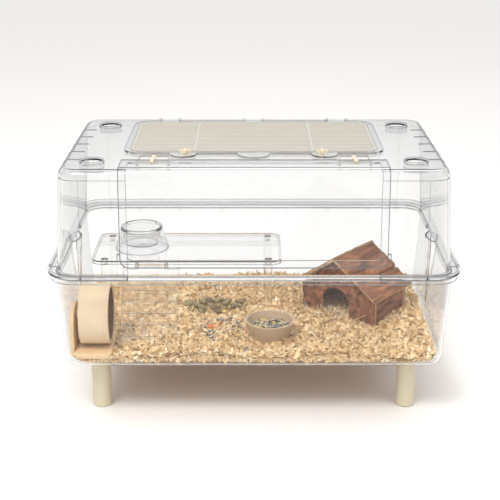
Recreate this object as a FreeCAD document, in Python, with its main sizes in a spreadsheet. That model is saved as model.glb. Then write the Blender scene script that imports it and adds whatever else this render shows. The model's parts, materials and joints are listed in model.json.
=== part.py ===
import FreeCAD, Part
import math
import os
import re
import Sketcher

# Clear two-level hamster cage: a tub on four legs, a lift-off cover with a front door and a
# vent lid, and the furniture inside. Origin on the floor under the middle, +X right, +Y back.

sizes = [
    # overall
    ("cageLength", 580, "left to right over the rims"),
    ("cageDepth", 380, "front to back over the rims"),
    ("legHeight", 82, "floor to the underside of the tub"),
    ("rimHeight", 225, "floor to the plane where tub and cover meet"),
    ("roofHeight", 374, "floor to the top of the roof"),
    # tub
    ("tubWall", 2.5, "tub wall and floor"),
    ("tubTaper", 9.5, "how far each tub wall leans out"),
    ("tubCorner", 32, "plan radius at the rim"),
    ("tubEdge", 16, "radius under the tub"),
    ("rimWidth", 10, "rim past the tub wall"),
    ("rimDrop", 8, "tub rim height"),
    ("rimWall", 2.5, "rim thickness"),
    ("beadHeight", 5.5, "raised bead round the cover"),
    ("lipDrop", 6, "locating lip inside the tub"),
    ("lipGap", 1, "between lip and tub wall"),
    ("gripTip", 112, "floor to the lowest point of the grip"),
    ("gripSpread", 21, "half angle of the grip"),
    ("gripLean", 18.5, "lean of the grip's axis"),
    ("gripMiddle", 12, "grip's middle, back from the centre"),
    # legs
    ("legRadius", 14, "leg"),
    ("legInsetLength", 63.5, "rim end to leg"),
    ("legInsetDepth", 76, "rim side to leg"),
    ("stubRadius", 10, "moulded stub in the leg"),
    ("stubLength", 12, "moulded stub"),
    ("stubGap", 0.1, "stub in its bore"),
    ("padRadius", 10, "rubber pad"),
    ("padHeight", 3, "rubber pad"),
    ("padProud", 1, "pad below the leg"),
    ("padGap", 0.3, "pad in its recess"),
    # cover
    ("coverWall", 2.5, "cover wall and roof"),
    ("coverInsetLength", 2, "cover wall inside the tub wall's line, at the ends"),
    ("coverInsetDepth", 5, "the same at front and back"),
    ("coverTaper", 8.5, "how far each cover wall leans in"),
    ("coverCorner", 34, "plan radius at the rim"),
    ("coverEdge", 10, "radius round the roof"),
    ("seatGap", 0.2, "cover over tub"),
    ("cupRadius", 15.5, "stacking cup, inside"),
    ("cupWall", 2, "stacking cup"),
    ("cupDepth", 9, "stacking cup below the roof"),
    ("cupLip", 2, "stacking cup above the roof"),
    ("slotWidth", 3, "side vent"),
    ("slotPitch", 46.3, "side vents, front to back"),
    ("slotReach", 25, "side vent into the roof"),
    ("slotDrop", 12, "side vent down the end wall"),
    ("slotShift", -10.5, "middle vent from the centre"),
    ("partInset", 50, "rim to the straight parts of the cover"),
    ("partDrop", 14, "roof to the top of the wall parts"),
    # front door
    ("doorWidth", 370, "door"),
    ("doorRear", 116, "centre to the door's rear edge"),
    ("doorLow", 238, "floor to the door's lower edge"),
    ("doorLap", 10, "door past its opening"),
    ("doorWall", 2.5, "door"),
    ("doorGap", 0.4, "door over cover"),
    ("doorCorner", 12, "door corners"),
    ("hingeSpread", 141.5, "centre to each door hinge"),
    ("hingeWindow", 41, "hinge window, left to right"),
    ("windowFront", 118, "centre to the window's front edge"),
    ("windowRear", 81, "centre to the window's rear edge"),
    ("hingeBack", 111, "centre to the door's pivot"),
    ("hingeSink", 3, "pivot below the roof's top"),
    ("hingePin", 2, "hinge pin radius"),
    ("pinGap", 0.05, "pin in its bores"),
    ("earWall", 3, "hinge ear"),
    ("barrelWall", 2, "round the pin"),
    ("clipWidth", 5, "hinge clip bar"),
    ("clipTail", 25, "clip behind the pivot"),
    ("clipFoot", 15, "clip on the door"),
    ("clipHeight", 1.5, "clip on the door"),
    ("snapLength", 10, "snap at the door's corner"),
    ("snapWidth", 4, "snap past the door's edge"),
    ("snapDepth", 3.4, "snap front to back"),
    # vent lid
    ("lidWidth", 375, "lid"),
    ("lidFront", 77, "centre to the lid's front edge"),
    ("lidRear", 135, "centre to the lid's rear edge"),
    ("lidCorner", 28, "lid corners"),
    ("lidBorder", 9.5, "clear border round the grille"),
    ("lidLap", 8, "lid past the roof opening"),
    ("lidWall", 2.5, "lid"),
    ("lidGap", 0.4, "lid over roof"),
    ("grilleGap", 0.2, "grille in its frame"),
    ("slatPitch", 8.5, "grille slats"),
    ("slatWidth", 3.4, "grille slat"),
    ("ribSpread", 85, "centre to each grille rib"),
    ("ribWidth", 3, "grille rib"),
    ("moonRadius", 23, "finger tab in front of the lid"),
    ("lobeRadius", 19, "lobe that carries a knob"),
    ("lobeSpread", 101, "centre to each lobe"),
    ("lobeSet", 2, "lobe and tab centres ahead of the lid's edge"),
    ("knobSpread", 98, "centre to each knob"),
    ("knobSet", 5, "knob behind the lid's edge"),
    ("knobShaft", 3, "knob shaft radius"),
    ("knobSpan", 17, "knob bar"),
    ("knobBar", 4, "knob bar width"),
    ("knobHeight", 3.4, "knob over the lid"),
    ("tongueReach", 6.5, "latch tongue from the knob's middle"),
    ("tongueHeight", 2, "latch tongue"),
    ("tongueRoom", 2, "round the tongue"),
    ("tabSpread", 133, "centre to the outer lid hinges"),
    ("tabWidth", 28, "lid hinge tongue"),
    ("tabSet", 6, "lid's edge to its pivot"),
    ("lidPin", 1.2, "lid hinge pin radius"),
    ("lidBarrel", 2.5, "lid hinge barrel radius"),
    ("earGap", 0.5, "ear beside the barrel"),
    # platform, posts and ramp
    ("platformLength", 293, "platform"),
    ("platformDepth", 138, "platform"),
    ("platformEnd", 40, "rim end to platform"),
    ("platformRear", 62, "rim to the back of the platform"),
    ("platformRise", 105.5, "tub floor to the platform's top"),
    ("platformWall", 2.5, "platform"),
    ("platformSkirt", 6, "edge of the platform"),
    ("platformCorner", 15, "platform corners"),
    ("postRadius", 6, "post"),
    ("postEnd", 20, "platform end to post"),
    ("postSide", 12, "platform side to post"),
    ("pipRadius", 3, "pip in a post"),
    ("pipLength", 6, "pip in a post"),
    ("pipGap", 0.1, "pip in its bore"),
    ("rampWidth", 86, "ramp"),
    ("rampLength", 140, "ramp, pivot to foot"),
    ("rampEnd", 134, "rim end to the ramp's middle"),
    ("rampWall", 2, "ramp"),
    ("rampRail", 8, "ramp side rail"),
    ("rampOut", 8, "platform to the ramp's pivot"),
    ("rampSink", 5.5, "pivot below the platform's top"),
    ("rampLug", 4, "platform lug"),
    ("rampStart", 6, "pivot to the ramp's sheet"),
    ("rampHinge", 40, "ramp barrel"),
    ("treadFirst", 24, "pivot to the first tread"),
    ("treadPitch", 19.5, "treads"),
    ("treadHeight", 4, "tread"),
    # bedding and dressing
    ("bedDepth", 10.5, "wood shavings"),
    ("bedInset", 1, "shavings inside the wall"),
    ("restGap", 0.3, "piece over what it stands on"),
    ("pileRadius", 34, "pellets"),
    ("pileHeight", 14, "pellets"),
    ("pileAlong", 190, "platform end to the pellets"),
    ("pileBack", 27, "centre to the pellets"),
    # wheel
    ("wheelRadius", 44, "drum"),
    ("wheelWidth", 43, "drum"),
    ("wheelWall", 5, "drum"),
    ("wheelRise", 1, "drum over its base"),
    ("wheelFront", 70, "rim to the wheel's middle"),
    ("wheelEnd", 40, "rim end to the drum's back"),
    ("linerWall", 1.4, "cork in the drum"),
    ("linerGap", 0.1, "cork in the drum"),
    ("hubRadius", 13, "drum hub"),
    ("hubLength", 8, "drum hub"),
    ("bearingRadius", 8, "bearing"),
    ("bearingWidth", 7, "bearing"),
    ("axleRadius", 3, "axle bolt"),
    ("headRadius", 6, "bolt head, nut and spacer"),
    ("headHeight", 3, "bolt head and nut"),
    ("boardWall", 6, "stand's upright board"),
    ("boardHalf", 34, "half the board's width"),
    ("boardTop", 17, "axle to the top of the board"),
    ("boardGap", 8, "board to drum"),
    ("standHeight", 8, "stand's foot"),
    ("standLength", 54, "stand's foot"),
    ("standHalf", 45, "half the foot's depth"),
    ("standCorner", 8, "stand's foot"),
    # bowls
    ("bowlRadius", 37.4, "food bowl at its rim"),
    ("bowlFoot", 29, "food bowl at its foot"),
    ("bowlHeight", 28, "food bowl"),
    ("bowlWall", 3.5, "food bowl"),
    ("bowlRight", 24, "centre to the food bowl"),
    ("bowlFront", 107, "rim to the food bowl's middle"),
    ("seedHeight", 9, "food in the bowl"),
    ("waterFoot", 42, "water bowl at its foot"),
    ("waterRim", 32.5, "water bowl at its rim"),
    ("waterHeight", 35, "water bowl"),
    ("waterWall", 2, "water bowl"),
    ("waterFloor", 8, "foot to the water bowl's inside"),
    ("waterEnd", 113.3, "rim end to the water bowl"),
    ("waterRear", 133, "rim to the water bowl"),
    # hut
    ("hutWidth", 136.6, "gable wall"),
    ("hutLength", 95.3, "side wall"),
    ("hutEave", 50, "wall at the eaves"),
    ("hutApex", 97, "gable wall in the middle"),
    ("hutSlab", 7, "bark slab"),
    ("hutThin", 5.5, "lowest roof slab"),
    ("hutEaves", 8, "roof past the side wall"),
    ("hutPorch", 15, "roof past the front wall"),
    ("hutTurn", -37.8, "hut's turn in degrees"),
    ("hutRight", 214, "rim end to the hut's left corner"),
    ("hutBack", 31, "centre to the hut's left corner"),
    ("archMiddle", 63, "left corner to the doorway's middle"),
    ("archRadius", 25, "doorway"),
    ("archSpring", 23, "floor to where the doorway's curve starts"),
    ("slabJoint", 0.6, "share of the right slope under its upper slab"),
    ("slabGap", 0.5, "between the slabs"),
]

doc = FreeCAD.newDocument("HamsterCage")
sheet = doc.addObject("Spreadsheet::Sheet", "Dims")
for row, (alias, amount, note) in enumerate(sizes, start=1):
    sheet.set(f"A{row}", alias)
    sheet.set(f"B{row}", str(amount))
    sheet.set(f"C{row}", note)
    sheet.setAlias(f"B{row}", alias)
doc.recompute()
aliasPattern = re.compile(r"\b(" + "|".join(alias for alias, _, _ in sizes) + r")\b")
nodes = []


def sized(rule):
    """A rule in plain aliases, as an expression on the sheet."""
    return aliasPattern.sub(r"Dims.\1", str(rule))


def number(rule):
    found = sheet.evalExpression(sized(rule))
    return float(getattr(found, "Value", found))


def bind(thing, **rules):
    for name, rule in rules.items():
        thing.setExpression(name, sized(rule))
    return thing


def put(thing, x=0, y=0, z=0):
    for axis, rule in zip("xyz", (x, y, z)):
        thing.setExpression("Placement.Base." + axis, sized(rule))
    return thing


def node(thing, label):
    thing.Label = label
    nodes.append(thing)
    return thing


# --- shapes ---------------------------------------------------------------------------------

def block(name, xs, ys, zs):
    """A block between two limits on each axis."""
    piece = doc.addObject("Part::Box", name)
    bind(piece, Length=f"({xs[1]}) - ({xs[0]})", Width=f"({ys[1]}) - ({ys[0]})",
         Height=f"({zs[1]}) - ({zs[0]})")
    return put(piece, xs[0], ys[0], zs[0])


def rod(name, radius, length, x=0, y=0, z=0, along="z"):
    piece = doc.addObject("Part::Cylinder", name)
    turn = {"z": (0, 0, 1, 0), "x": (0, 1, 0, 90), "y": (1, 0, 0, -90)}[along]
    piece.Placement = FreeCAD.Placement(
        FreeCAD.Vector(), FreeCAD.Rotation(FreeCAD.Vector(*turn[:3]), turn[3]))
    bind(piece, Radius=radius, Height=length)
    return put(piece, x, y, z)


def fuse(name, *pieces):
    whole = doc.addObject("Part::MultiFuse", name)
    whole.Shapes = list(pieces)
    whole.Refine = True
    return whole


def common(name, *pieces):
    whole = doc.addObject("Part::MultiCommon", name)
    whole.Behavior = "CommonOfAllShapes"
    whole.Shapes = list(pieces)
    return whole


def cut(name, base, *tools):
    whole = doc.addObject("Part::Cut", name)
    whole.Base = base
    whole.Tool = tools[0] if len(tools) == 1 else fuse(name + "Tools", *tools)
    return whole


def group(name, *pieces):
    whole = doc.addObject("Part::Compound", name)
    whole.Links = list(pieces)
    return whole


def rounded(name, base, radius, wanted):
    """Rounds the edges whose bounding box passes the test."""
    doc.recompute()
    piece = doc.addObject("Part::Fillet", name)
    piece.Base = base
    size = number(radius)
    piece.Edges = [(index, size, size) for index, edge in enumerate(base.Shape.Edges, start=1)
                   if wanted(edge.BoundBox)]
    return piece


def originPlane(body, role):
    return next(item for item in body.Origin.OriginFeatures if item.Role == role)


def newSketch(body, name, plane, level=0):
    sketch = body.newObject("Sketcher::SketchObject", name)
    sketch.AttachmentSupport = (originPlane(body, plane), [""])
    sketch.MapMode = "FlatFace"
    sketch.setExpression("AttachmentOffset.Base.z", sized(level))
    return sketch


def hold(sketch, kind, *ends, rule):
    """A distance that follows the sheet."""
    label = f"size{sketch.ConstraintCount}"
    index = sketch.addConstraint(Sketcher.Constraint(kind, *ends, number(rule)))
    sketch.renameConstraint(index, label)
    sketch.setExpression("Constraints." + label, sized(rule))


def roundedOutline(sketch, length, depth, radius):
    """A rectangle about the origin with round corners."""
    x, y, r = number(length) / 2, number(depth) / 2, number(radius)
    corners = [(x - r, -y + r), (x - r, y - r), (-x + r, y - r), (-x + r, -y + r)]
    steps = [(0, -1), (1, 0), (0, 1), (-1, 0)]
    for side in range(4):
        (ax, ay), (bx, by) = corners[side], corners[(side + 1) % 4]
        nx, ny = steps[(side + 1) % 4]
        sketch.addGeometry(Part.LineSegment(FreeCAD.Vector(ax + nx * r, ay + ny * r, 0),
                                            FreeCAD.Vector(bx + nx * r, by + ny * r, 0)))
    for side in range(4):
        cx, cy = corners[side]
        start = (side - 1) * math.pi / 2
        circle = Part.Circle(FreeCAD.Vector(cx, cy, 0), FreeCAD.Vector(0, 0, 1), r)
        sketch.addGeometry(Part.ArcOfCircle(circle, start, start + math.pi / 2))
    for side in range(4):
        sketch.addConstraint(Sketcher.Constraint("Tangent", 4 + side, 2, side, 1))
        sketch.addConstraint(Sketcher.Constraint("Tangent", side, 2, 4 + (side + 1) % 4, 1))
        sketch.addConstraint(Sketcher.Constraint("Vertical" if side % 2 == 0 else "Horizontal", side))
    for side in range(1, 4):
        sketch.addConstraint(Sketcher.Constraint("Equal", 4, 4 + side))
    hold(sketch, "Radius", 4, rule=radius)
    hold(sketch, "DistanceX", -1, 1, 0, 1, rule=f"({length}) / 2")
    hold(sketch, "DistanceX", 2, 1, -1, 1, rule=f"({length}) / 2")
    hold(sketch, "DistanceY", -1, 1, 1, 1, rule=f"({depth}) / 2")
    hold(sketch, "DistanceY", 3, 1, -1, 1, rule=f"({depth}) / 2")


def polygon(sketch, points):
    """Straight sides through points whose places follow the sheet."""
    places = [FreeCAD.Vector(number(x), number(y), 0) for x, y in points]
    for index, place in enumerate(places):
        sketch.addGeometry(Part.LineSegment(place, places[(index + 1) % len(places)]))
    for index, (x, y) in enumerate(points):
        sketch.addConstraint(
            Sketcher.Constraint("Coincident", index, 2, (index + 1) % len(points), 1))
        hold(sketch, "DistanceX", -1, 1, index, 1, rule=x)
        hold(sketch, "DistanceY", -1, 1, index, 1, rule=y)


def slab(name, length, depth, radius, low, high):
    """A plate with round corners between two levels, about the origin."""
    body = doc.addObject("PartDesign::Body", name)
    sketch = newSketch(body, name + "Outline", "XY_Plane", low)
    roundedOutline(sketch, length, depth, radius)
    pad = body.newObject("PartDesign::Pad", name + "Pad")
    pad.Profile = sketch
    bind(pad, Length=f"({high}) - ({low})")
    return body


def tapered(name, outline, flare, top, edge=None):
    """A block whose sides lean out by flare from its outline up to top, or in if it is negative.

    The outline is a length, depth, corner radius and level. The edge radius goes round the
    smaller end.
    """
    length, depth, radius, level = outline
    body = doc.addObject("PartDesign::Body", name)
    sketch = newSketch(body, name + "Outline", "XY_Plane", level)
    roundedOutline(sketch, length, depth, radius)
    pad = body.newObject("PartDesign::Pad", name + "Pad")
    pad.Profile = sketch
    bind(pad, Length=f"({top}) - ({level})", TaperAngle=f"atan(({flare}) / (({top}) - ({level})))")
    if edge:
        doc.recompute()
        height = number(top if number(flare) < 0 else level)
        names = [f"Edge{index}" for index, side in enumerate(pad.Shape.Edges, start=1)
                 if abs(side.BoundBox.ZMin - height) < 0.01 and side.BoundBox.ZLength < 0.01]
        fillet = body.newObject("PartDesign::Fillet", name + "Edge")
        fillet.Base = (pad, names)
        bind(fillet, Radius=edge)
    return body


def turned(name, points, along="V_Axis"):
    """A round piece, from its half section in the XZ plane."""
    body = doc.addObject("PartDesign::Body", name)
    sketch = newSketch(body, name + "Section", "XZ_Plane")
    polygon(sketch, points)
    turn = body.newObject("PartDesign::Revolution", name + "Turn")
    turn.Profile = sketch
    turn.ReferenceAxis = (sketch, [along])
    turn.Angle = 360
    return body


def bar(name, points, front, rear):
    """A bar along Y with the given section in the XZ plane."""
    body = doc.addObject("PartDesign::Body", name)
    sketch = newSketch(body, name + "Section", "XZ_Plane", f"-({front})")
    polygon(sketch, points)
    pad = body.newObject("PartDesign::Pad", name + "Pad")
    pad.Profile = sketch
    pad.Reversed = True
    bind(pad, Length=f"({rear}) - ({front})")
    return body


corners = [(x, y) for y in (-1, 1) for x in (-1, 1)]

# --- tub and legs -----------------------------------------------------------------------------

tubLow = ("cageLength - 2 * rimWidth - 2 * tubTaper", "cageDepth - 2 * rimWidth - 2 * tubTaper",
          "tubCorner - tubTaper", "legHeight")
floorLevel = "(legHeight + tubWall)"


def inset(outline, by):
    length, depth, radius = outline[:3]
    return (f"{length} - 2 * ({by})", f"{depth} - 2 * ({by})", f"{radius} - ({by})")


tubSolid = tapered("TubSolid", tubLow, "tubTaper", "rimHeight", "tubEdge")
tubHollow = tapered("TubHollow", inset(tubLow, "tubWall") + (floorLevel,), "tubTaper",
                    "rimHeight + 1", "tubEdge - tubWall")
rimOuter = slab("RimOuter", "cageLength - 2 * rimWall", "cageDepth - 2 * rimWall",
                "tubCorner + rimWidth - rimWall", "rimHeight - rimDrop", "rimHeight")
rimHollow = slab("RimHollow", "cageLength - 4 * rimWall", "cageDepth - 4 * rimWall",
                 "tubCorner + rimWidth - 2 * rimWall", "rimHeight - rimDrop", "rimHeight - rimWall")
rim = cut("TubRim", rimOuter, rimHollow)

legX = "(cageLength / 2 - legInsetLength)"
legY = "(cageDepth / 2 - legInsetDepth)"
stubs = [rod(f"Stub{index}", "stubRadius", "stubLength + tubWall", f"{x} * {legX}", f"{y} * {legY}",
             "legHeight - stubLength") for index, (x, y) in enumerate(corners)]

platformLeft = "(platformEnd - cageLength / 2)"
platformBack = "(cageDepth / 2 - platformRear)"
platformTop = f"({floorLevel} + platformRise)"
postPlaces = [(f"{platformLeft} + postEnd", f"{platformBack} - platformDepth + postSide"),
              (f"{platformLeft} + platformLength - postEnd",
               f"{platformBack} - platformDepth + postSide"),
              (f"{platformLeft} + postEnd", f"{platformBack} - postSide"),
              (f"{platformLeft} + platformLength - postEnd", f"{platformBack} - postSide")]
pips = [rod(f"FloorPip{index}", "pipRadius", "pipLength", x, y, floorLevel)
        for index, (x, y) in enumerate(postPlaces)]

# Each grip is a leaning cone that bites into an end wall; the wall follows it inwards.
gripCones = []
gripWalls = []
tipX = "(cageLength / 2 - rimWidth - tubTaper + tubTaper * (gripTip - legHeight) / (rimHeight - legHeight))"
gripRun = "((rimHeight - gripTip) / cos(gripLean) + 10)"
gripBack = "(tubWall / sin(gripSpread))"
for side, sign in (("Left", -1), ("Right", 1)):
    for kind, back, store in (("Cone", "0", gripCones), ("Wall", gripBack, gripWalls)):
        cone = doc.addObject("Part::Cone", f"Grip{kind}{side}")
        cone.Placement = FreeCAD.Placement(
            FreeCAD.Vector(), FreeCAD.Rotation(FreeCAD.Vector(0, sign, 0), 1))
        cone.setExpression("Placement.Rotation.Angle", sized("gripLean"))
        bind(cone, Radius1="0", Radius2=f"({gripRun} + {back}) * tan(gripSpread)",
             Height=f"{gripRun} + {back}")
        put(cone, f"{sign} * ({tipX} - {back} * sin(gripLean))", "gripMiddle",
            f"gripTip - {back} * cos(gripLean)")
        store.append(cone)
gripLimit = block("GripLimit", ("-cageLength", "cageLength"), ("-cageDepth", "cageDepth"),
                  ("legHeight", "rimHeight - rimWall"))
gripSkin = common("GripSkin", fuse("GripWalls", *gripWalls), tubSolid, gripLimit)
gripCut = common("GripCut", fuse("GripCones", *gripCones), tubSolid, gripLimit)
tubShell = cut("TubShell", fuse("TubWithRim", tubSolid, rim), tubHollow)
node(cut("Tub", fuse("TubFilled", tubShell, gripSkin, *stubs, *pips), gripCut), "base_tub")

legNames = ["front_left", "front_right", "back_left", "back_right"]
for (x, y), place in zip(corners, legNames):
    leg = turned(f"Leg{place}", [
        ("0", "padHeight"), ("padRadius + padGap", "padHeight"), ("padRadius + padGap", "padProud"),
        ("legRadius", "padProud"), ("legRadius", "legHeight"), ("stubRadius + stubGap", "legHeight"),
        ("stubRadius + stubGap", "legHeight - stubLength - padProud"),
        ("0", "legHeight - stubLength - padProud")])
    node(put(leg, f"{x} * {legX}", f"{y} * {legY}"), "leg_" + place)
node(group("FootPads", *[rod(f"Pad{index}", "padRadius", "padHeight", f"{x} * {legX}",
                             f"{y} * {legY}") for index, (x, y) in enumerate(corners)]), "foot_pads")

# --- platform, posts and ramp -------------------------------------------------------------------

platform = slab("PlatformTop", "platformLength", "platformDepth", "platformCorner",
                "-platformSkirt", "0")
under = slab("PlatformUnder", "platformLength - 2 * platformWall", "platformDepth - 2 * platformWall",
             "platformCorner - platformWall", "-platformSkirt", "-platformWall")
deck = put(cut("PlatformDeck", platform, under), f"{platformLeft} + platformLength / 2",
           f"{platformBack} - platformDepth / 2", platformTop)
topPips = [rod(f"TopPip{index}", "pipRadius", "pipLength + platformWall / 2", x, y,
               f"{platformTop} - platformWall - pipLength") for index, (x, y) in enumerate(postPlaces)]
rampX = "(rampEnd - cageLength / 2)"
rampY = f"({platformBack} - platformDepth - rampOut)"
rampZ = f"({platformTop} - rampSink)"
lugRadius = "(hingePin + barrelWall)"
lugs = []
for side in (-1, 1):
    start = f"{rampX} + {side} * (rampHinge / 2 + earGap + rampLug / 2) - rampLug / 2"
    lugs.append(rod(f"Lug{side}Round", lugRadius, "rampLug", start, rampY, rampZ, "x"))
    lugs.append(block(f"Lug{side}Arm", (start, f"{start} + rampLug"), (rampY, f"{rampY} + rampOut + 1"),
                      (f"{rampZ} - {lugRadius}", f"{rampZ} + {lugRadius}")))
pinHole = rod("RampPinHole", "hingePin + pinGap", "rampHinge + 4 * rampLug",
              f"{rampX} - rampHinge / 2 - 2 * rampLug", rampY, rampZ, "x")
node(cut("Platform", fuse("PlatformWhole", deck, *topPips, *lugs), pinHole), "platform")
node(rod("RampPin", "hingePin", "rampHinge + 2 * rampLug + 2",
         f"{rampX} - rampHinge / 2 - rampLug - 1", rampY, rampZ, "x"), "ramp_pin")
for index, ((x, y), place) in enumerate(zip(postPlaces, legNames)):
    rise = "(platformRise - platformWall)"
    post = turned(f"Post{place}", [
        ("0", "pipLength + 1"), ("pipRadius + pipGap", "pipLength + 1"), ("pipRadius + pipGap", "0"),
        ("postRadius", "0"), ("postRadius", rise), ("pipRadius + pipGap", rise),
        ("pipRadius + pipGap", f"{rise} - pipLength - 1"), ("0", f"{rise} - pipLength - 1")])
    node(put(post, x, y, floorLevel), "post_" + place)

bedTop = f"({floorLevel} + bedDepth)"
sheetY = ("-rampLength", "-rampStart")
treadCount = int((number("rampLength") - number("treadFirst")) // number("treadPitch")) + 1
rampParts = [block("RampSheet", ("-rampWidth / 2", "rampWidth / 2"), sheetY,
                   ("-rampWall / 2", "rampWall / 2")),
             block("RampWeb", ("-rampHinge / 2", "rampHinge / 2"), ("-rampStart - 1", "0"),
                   ("-rampWall / 2", "rampWall / 2")),
             rod("RampBarrel", lugRadius, "rampHinge", "-rampHinge / 2", 0, 0, "x")]
for side, limits in (("Left", ("-rampWidth / 2", "rampWall - rampWidth / 2")),
                     ("Right", ("rampWidth / 2 - rampWall", "rampWidth / 2"))):
    rampParts.append(block("RampRail" + side, limits, sheetY, ("-rampWall / 2", "rampRail")))
for tread in range(treadCount):
    away = f"(treadFirst + {tread} * treadPitch)"
    rampParts.append(block(f"Tread{tread}", ("-rampWidth / 2", "rampWidth / 2"),
                           (f"-{away} - rampWall / 2", f"-{away} + rampWall / 2"),
                           ("-rampWall / 2", "treadHeight")))
rampBore = rod("RampBore", "hingePin + pinGap", "rampHinge + 2", "-rampHinge / 2 - 1", 0, 0, "x")
ramp = cut("Ramp", fuse("RampWhole", *rampParts), rampBore)
ramp.Placement = FreeCAD.Placement(FreeCAD.Vector(), FreeCAD.Rotation(FreeCAD.Vector(1, 0, 0), 30))
rampFall = f"({rampZ} - {bedTop} - 2 * restGap - rampWall / 2)"
ramp.setExpression("Placement.Rotation.Angle", sized(f"asin({rampFall} / rampLength)"))
node(put(ramp, rampX, rampY, rampZ), "ramp")

# --- bedding and pellets ------------------------------------------------------------------------

bedLow = ("cageLength - 2 * (rimWidth + tubTaper + tubEdge)",
          "cageDepth - 2 * (rimWidth + tubTaper + tubEdge)", "tubEdge / 2", f"{floorLevel} + restGap")
bedSpread = "(tubEdge - tubWall - bedInset)"
postHoles = [rod(f"PostHole{index}", "postRadius + restGap", "3 * bedDepth", x, y,
                 f"{floorLevel} - bedDepth") for index, (x, y) in enumerate(postPlaces)]
node(cut("Bedding", tapered("BeddingSolid", bedLow, bedSpread, bedTop), *postHoles), "bedding")
pile = doc.addObject("Part::Cone", "Pellets")
bind(pile, Radius1="pileRadius", Radius2="pileRadius / 3", Height="pileHeight")
node(put(pile, f"{platformLeft} + pileAlong", "pileBack", f"{bedTop} + restGap"), "pellet_pile")

# --- wheel --------------------------------------------------------------------------------------

drumX = "(wheelEnd - cageLength / 2)"
wheelY = "(wheelFront - cageDepth / 2)"
standTop = f"({bedTop} + restGap + standHeight)"
axleZ = f"({standTop} + wheelRise + wheelRadius)"
boardX = f"({drumX} - boardGap - boardWall)"
base = rounded("StandFoot", block("StandFootBlock", (f"{boardX} + boardWall",
                                                     f"{boardX} + boardWall + standLength"),
                                  (f"{wheelY} - standHalf", f"{wheelY} + standHalf"),
                                  (f"{bedTop} + restGap", standTop)),
               "standCorner", lambda edge: edge.XLength + edge.YLength < 0.01)
node(base, "wheel_foot")
boardFoot = block("BoardFoot", (boardX, f"{boardX} + boardWall"),
                  (f"{wheelY} - boardHalf", f"{wheelY} + boardHalf"),
                  (f"{bedTop} + restGap", f"{axleZ} + boardTop - boardHalf"))
boardRound = rod("BoardRound", "boardHalf", "boardWall", boardX, wheelY,
                 f"{axleZ} + boardTop - boardHalf", "x")
boardHole = rod("BoardHole", "axleRadius + pinGap", "3 * boardWall", f"{boardX} - boardWall", wheelY,
                axleZ, "x")
node(cut("Board", fuse("BoardWhole", boardFoot, boardRound), boardHole), "wheel_board")
nutX = f"({drumX} + hubLength + earGap)"
bolt = fuse("AxleBolt", rod("BoltHead", "headRadius", "headHeight", f"{boardX} - headHeight", wheelY,
                            axleZ, "x"),
            rod("BoltShank", "axleRadius", f"{nutX} + 1.5 * headHeight - {boardX}", boardX, wheelY,
                axleZ, "x"))
node(bolt, "axle_bolt")
for name, start, length in (("axle_spacer", f"{boardX} + boardWall", "boardGap - earGap"),
                            ("axle_nut", nutX, "headHeight")):
    ring = rod(name + "Outer", "headRadius", length, start, wheelY, axleZ, "x")
    if name == "axle_nut":
        ring = doc.addObject("Part::Prism", "NutHexagon")
        ring.Polygon = 6
        ring.Placement = FreeCAD.Placement(
            FreeCAD.Vector(), FreeCAD.Rotation(FreeCAD.Vector(0, 1, 0), 90))
        bind(ring, Circumradius="headRadius", Height=length)
        put(ring, start, wheelY, axleZ)
    hole = rod(name + "Hole", "axleRadius + pinGap", f"{length} + 2", f"{start} - 1", wheelY, axleZ, "x")
    node(cut(name + "Ring", ring, hole), name)
inner = "(wheelRadius - wheelWall)"
drum = turned("Drum", [
    ("0", "bearingRadius + pinGap"), ("0", "wheelRadius"), ("wheelWidth", "wheelRadius"),
    ("wheelWidth", inner), ("wheelWall", inner), ("wheelWall", "hubRadius"),
    ("hubLength", "hubRadius"), ("hubLength", "bearingRadius + pinGap")], "H_Axis")
liner = turned("Liner", [
    ("wheelWall + linerGap", f"{inner} - linerGap"), ("wheelWidth - linerWall", f"{inner} - linerGap"),
    ("wheelWidth - linerWall", f"{inner} - linerGap - linerWall"),
    ("wheelWall + linerGap", f"{inner} - linerGap - linerWall")], "H_Axis")
bearing = turned("Bearing", [
    ("earGap / 2", "axleRadius + pinGap"), ("earGap / 2", "bearingRadius"),
    ("earGap / 2 + bearingWidth", "bearingRadius"), ("earGap / 2 + bearingWidth", "axleRadius + pinGap")],
    "H_Axis")
for piece, label in ((drum, "wheel_drum"), (liner, "wheel_liner"), (bearing, "wheel_bearing")):
    node(put(piece, drumX, wheelY, axleZ), label)

# --- bowls --------------------------------------------------------------------------------------

bowlLean = "((bowlRadius - bowlFoot) / bowlHeight)"
foodBowl = turned("FoodBowl", [
    ("0", "0"), ("bowlFoot", "0"), ("bowlRadius", "bowlHeight"), ("bowlRadius - bowlWall", "bowlHeight"),
    (f"bowlFoot - bowlWall + bowlWall * {bowlLean}", "bowlWall"), ("0", "bowlWall")])
seeds = turned("Seeds", [
    ("0", "bowlWall + restGap"),
    (f"bowlFoot - bowlWall + bowlWall * {bowlLean} - 2 * restGap", "bowlWall + restGap"),
    (f"bowlFoot - bowlWall + (bowlWall + seedHeight) * {bowlLean} - 2 * restGap",
     "bowlWall + seedHeight"), ("0", "bowlWall + seedHeight")])
for piece, label in ((foodBowl, "food_bowl"), (seeds, "bowl_seeds")):
    node(put(piece, "bowlRight", "bowlFront - cageDepth / 2", f"{bedTop} + restGap"), label)
waterBowl = turned("WaterBowl", [
    ("waterFoot", "0"), ("waterRim", "waterHeight"), ("waterRim - 1.5 * waterWall", "waterHeight"),
    ("waterRim - 4.5 * waterWall", "waterFloor + waterWall / 2"), ("0", "waterFloor"),
    ("0", "waterFloor - waterWall"), ("waterRim - 3.5 * waterWall", "waterFloor - waterWall / 4"),
    ("waterRim - waterWall", "waterHeight - 2 * waterWall"), ("waterFoot - waterWall", "0")])
node(put(waterBowl, "waterEnd - cageLength / 2", "cageDepth / 2 - waterRear",
         f"{platformTop} + restGap"), "water_bowl")

# --- hut ----------------------------------------------------------------------------------------

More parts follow.
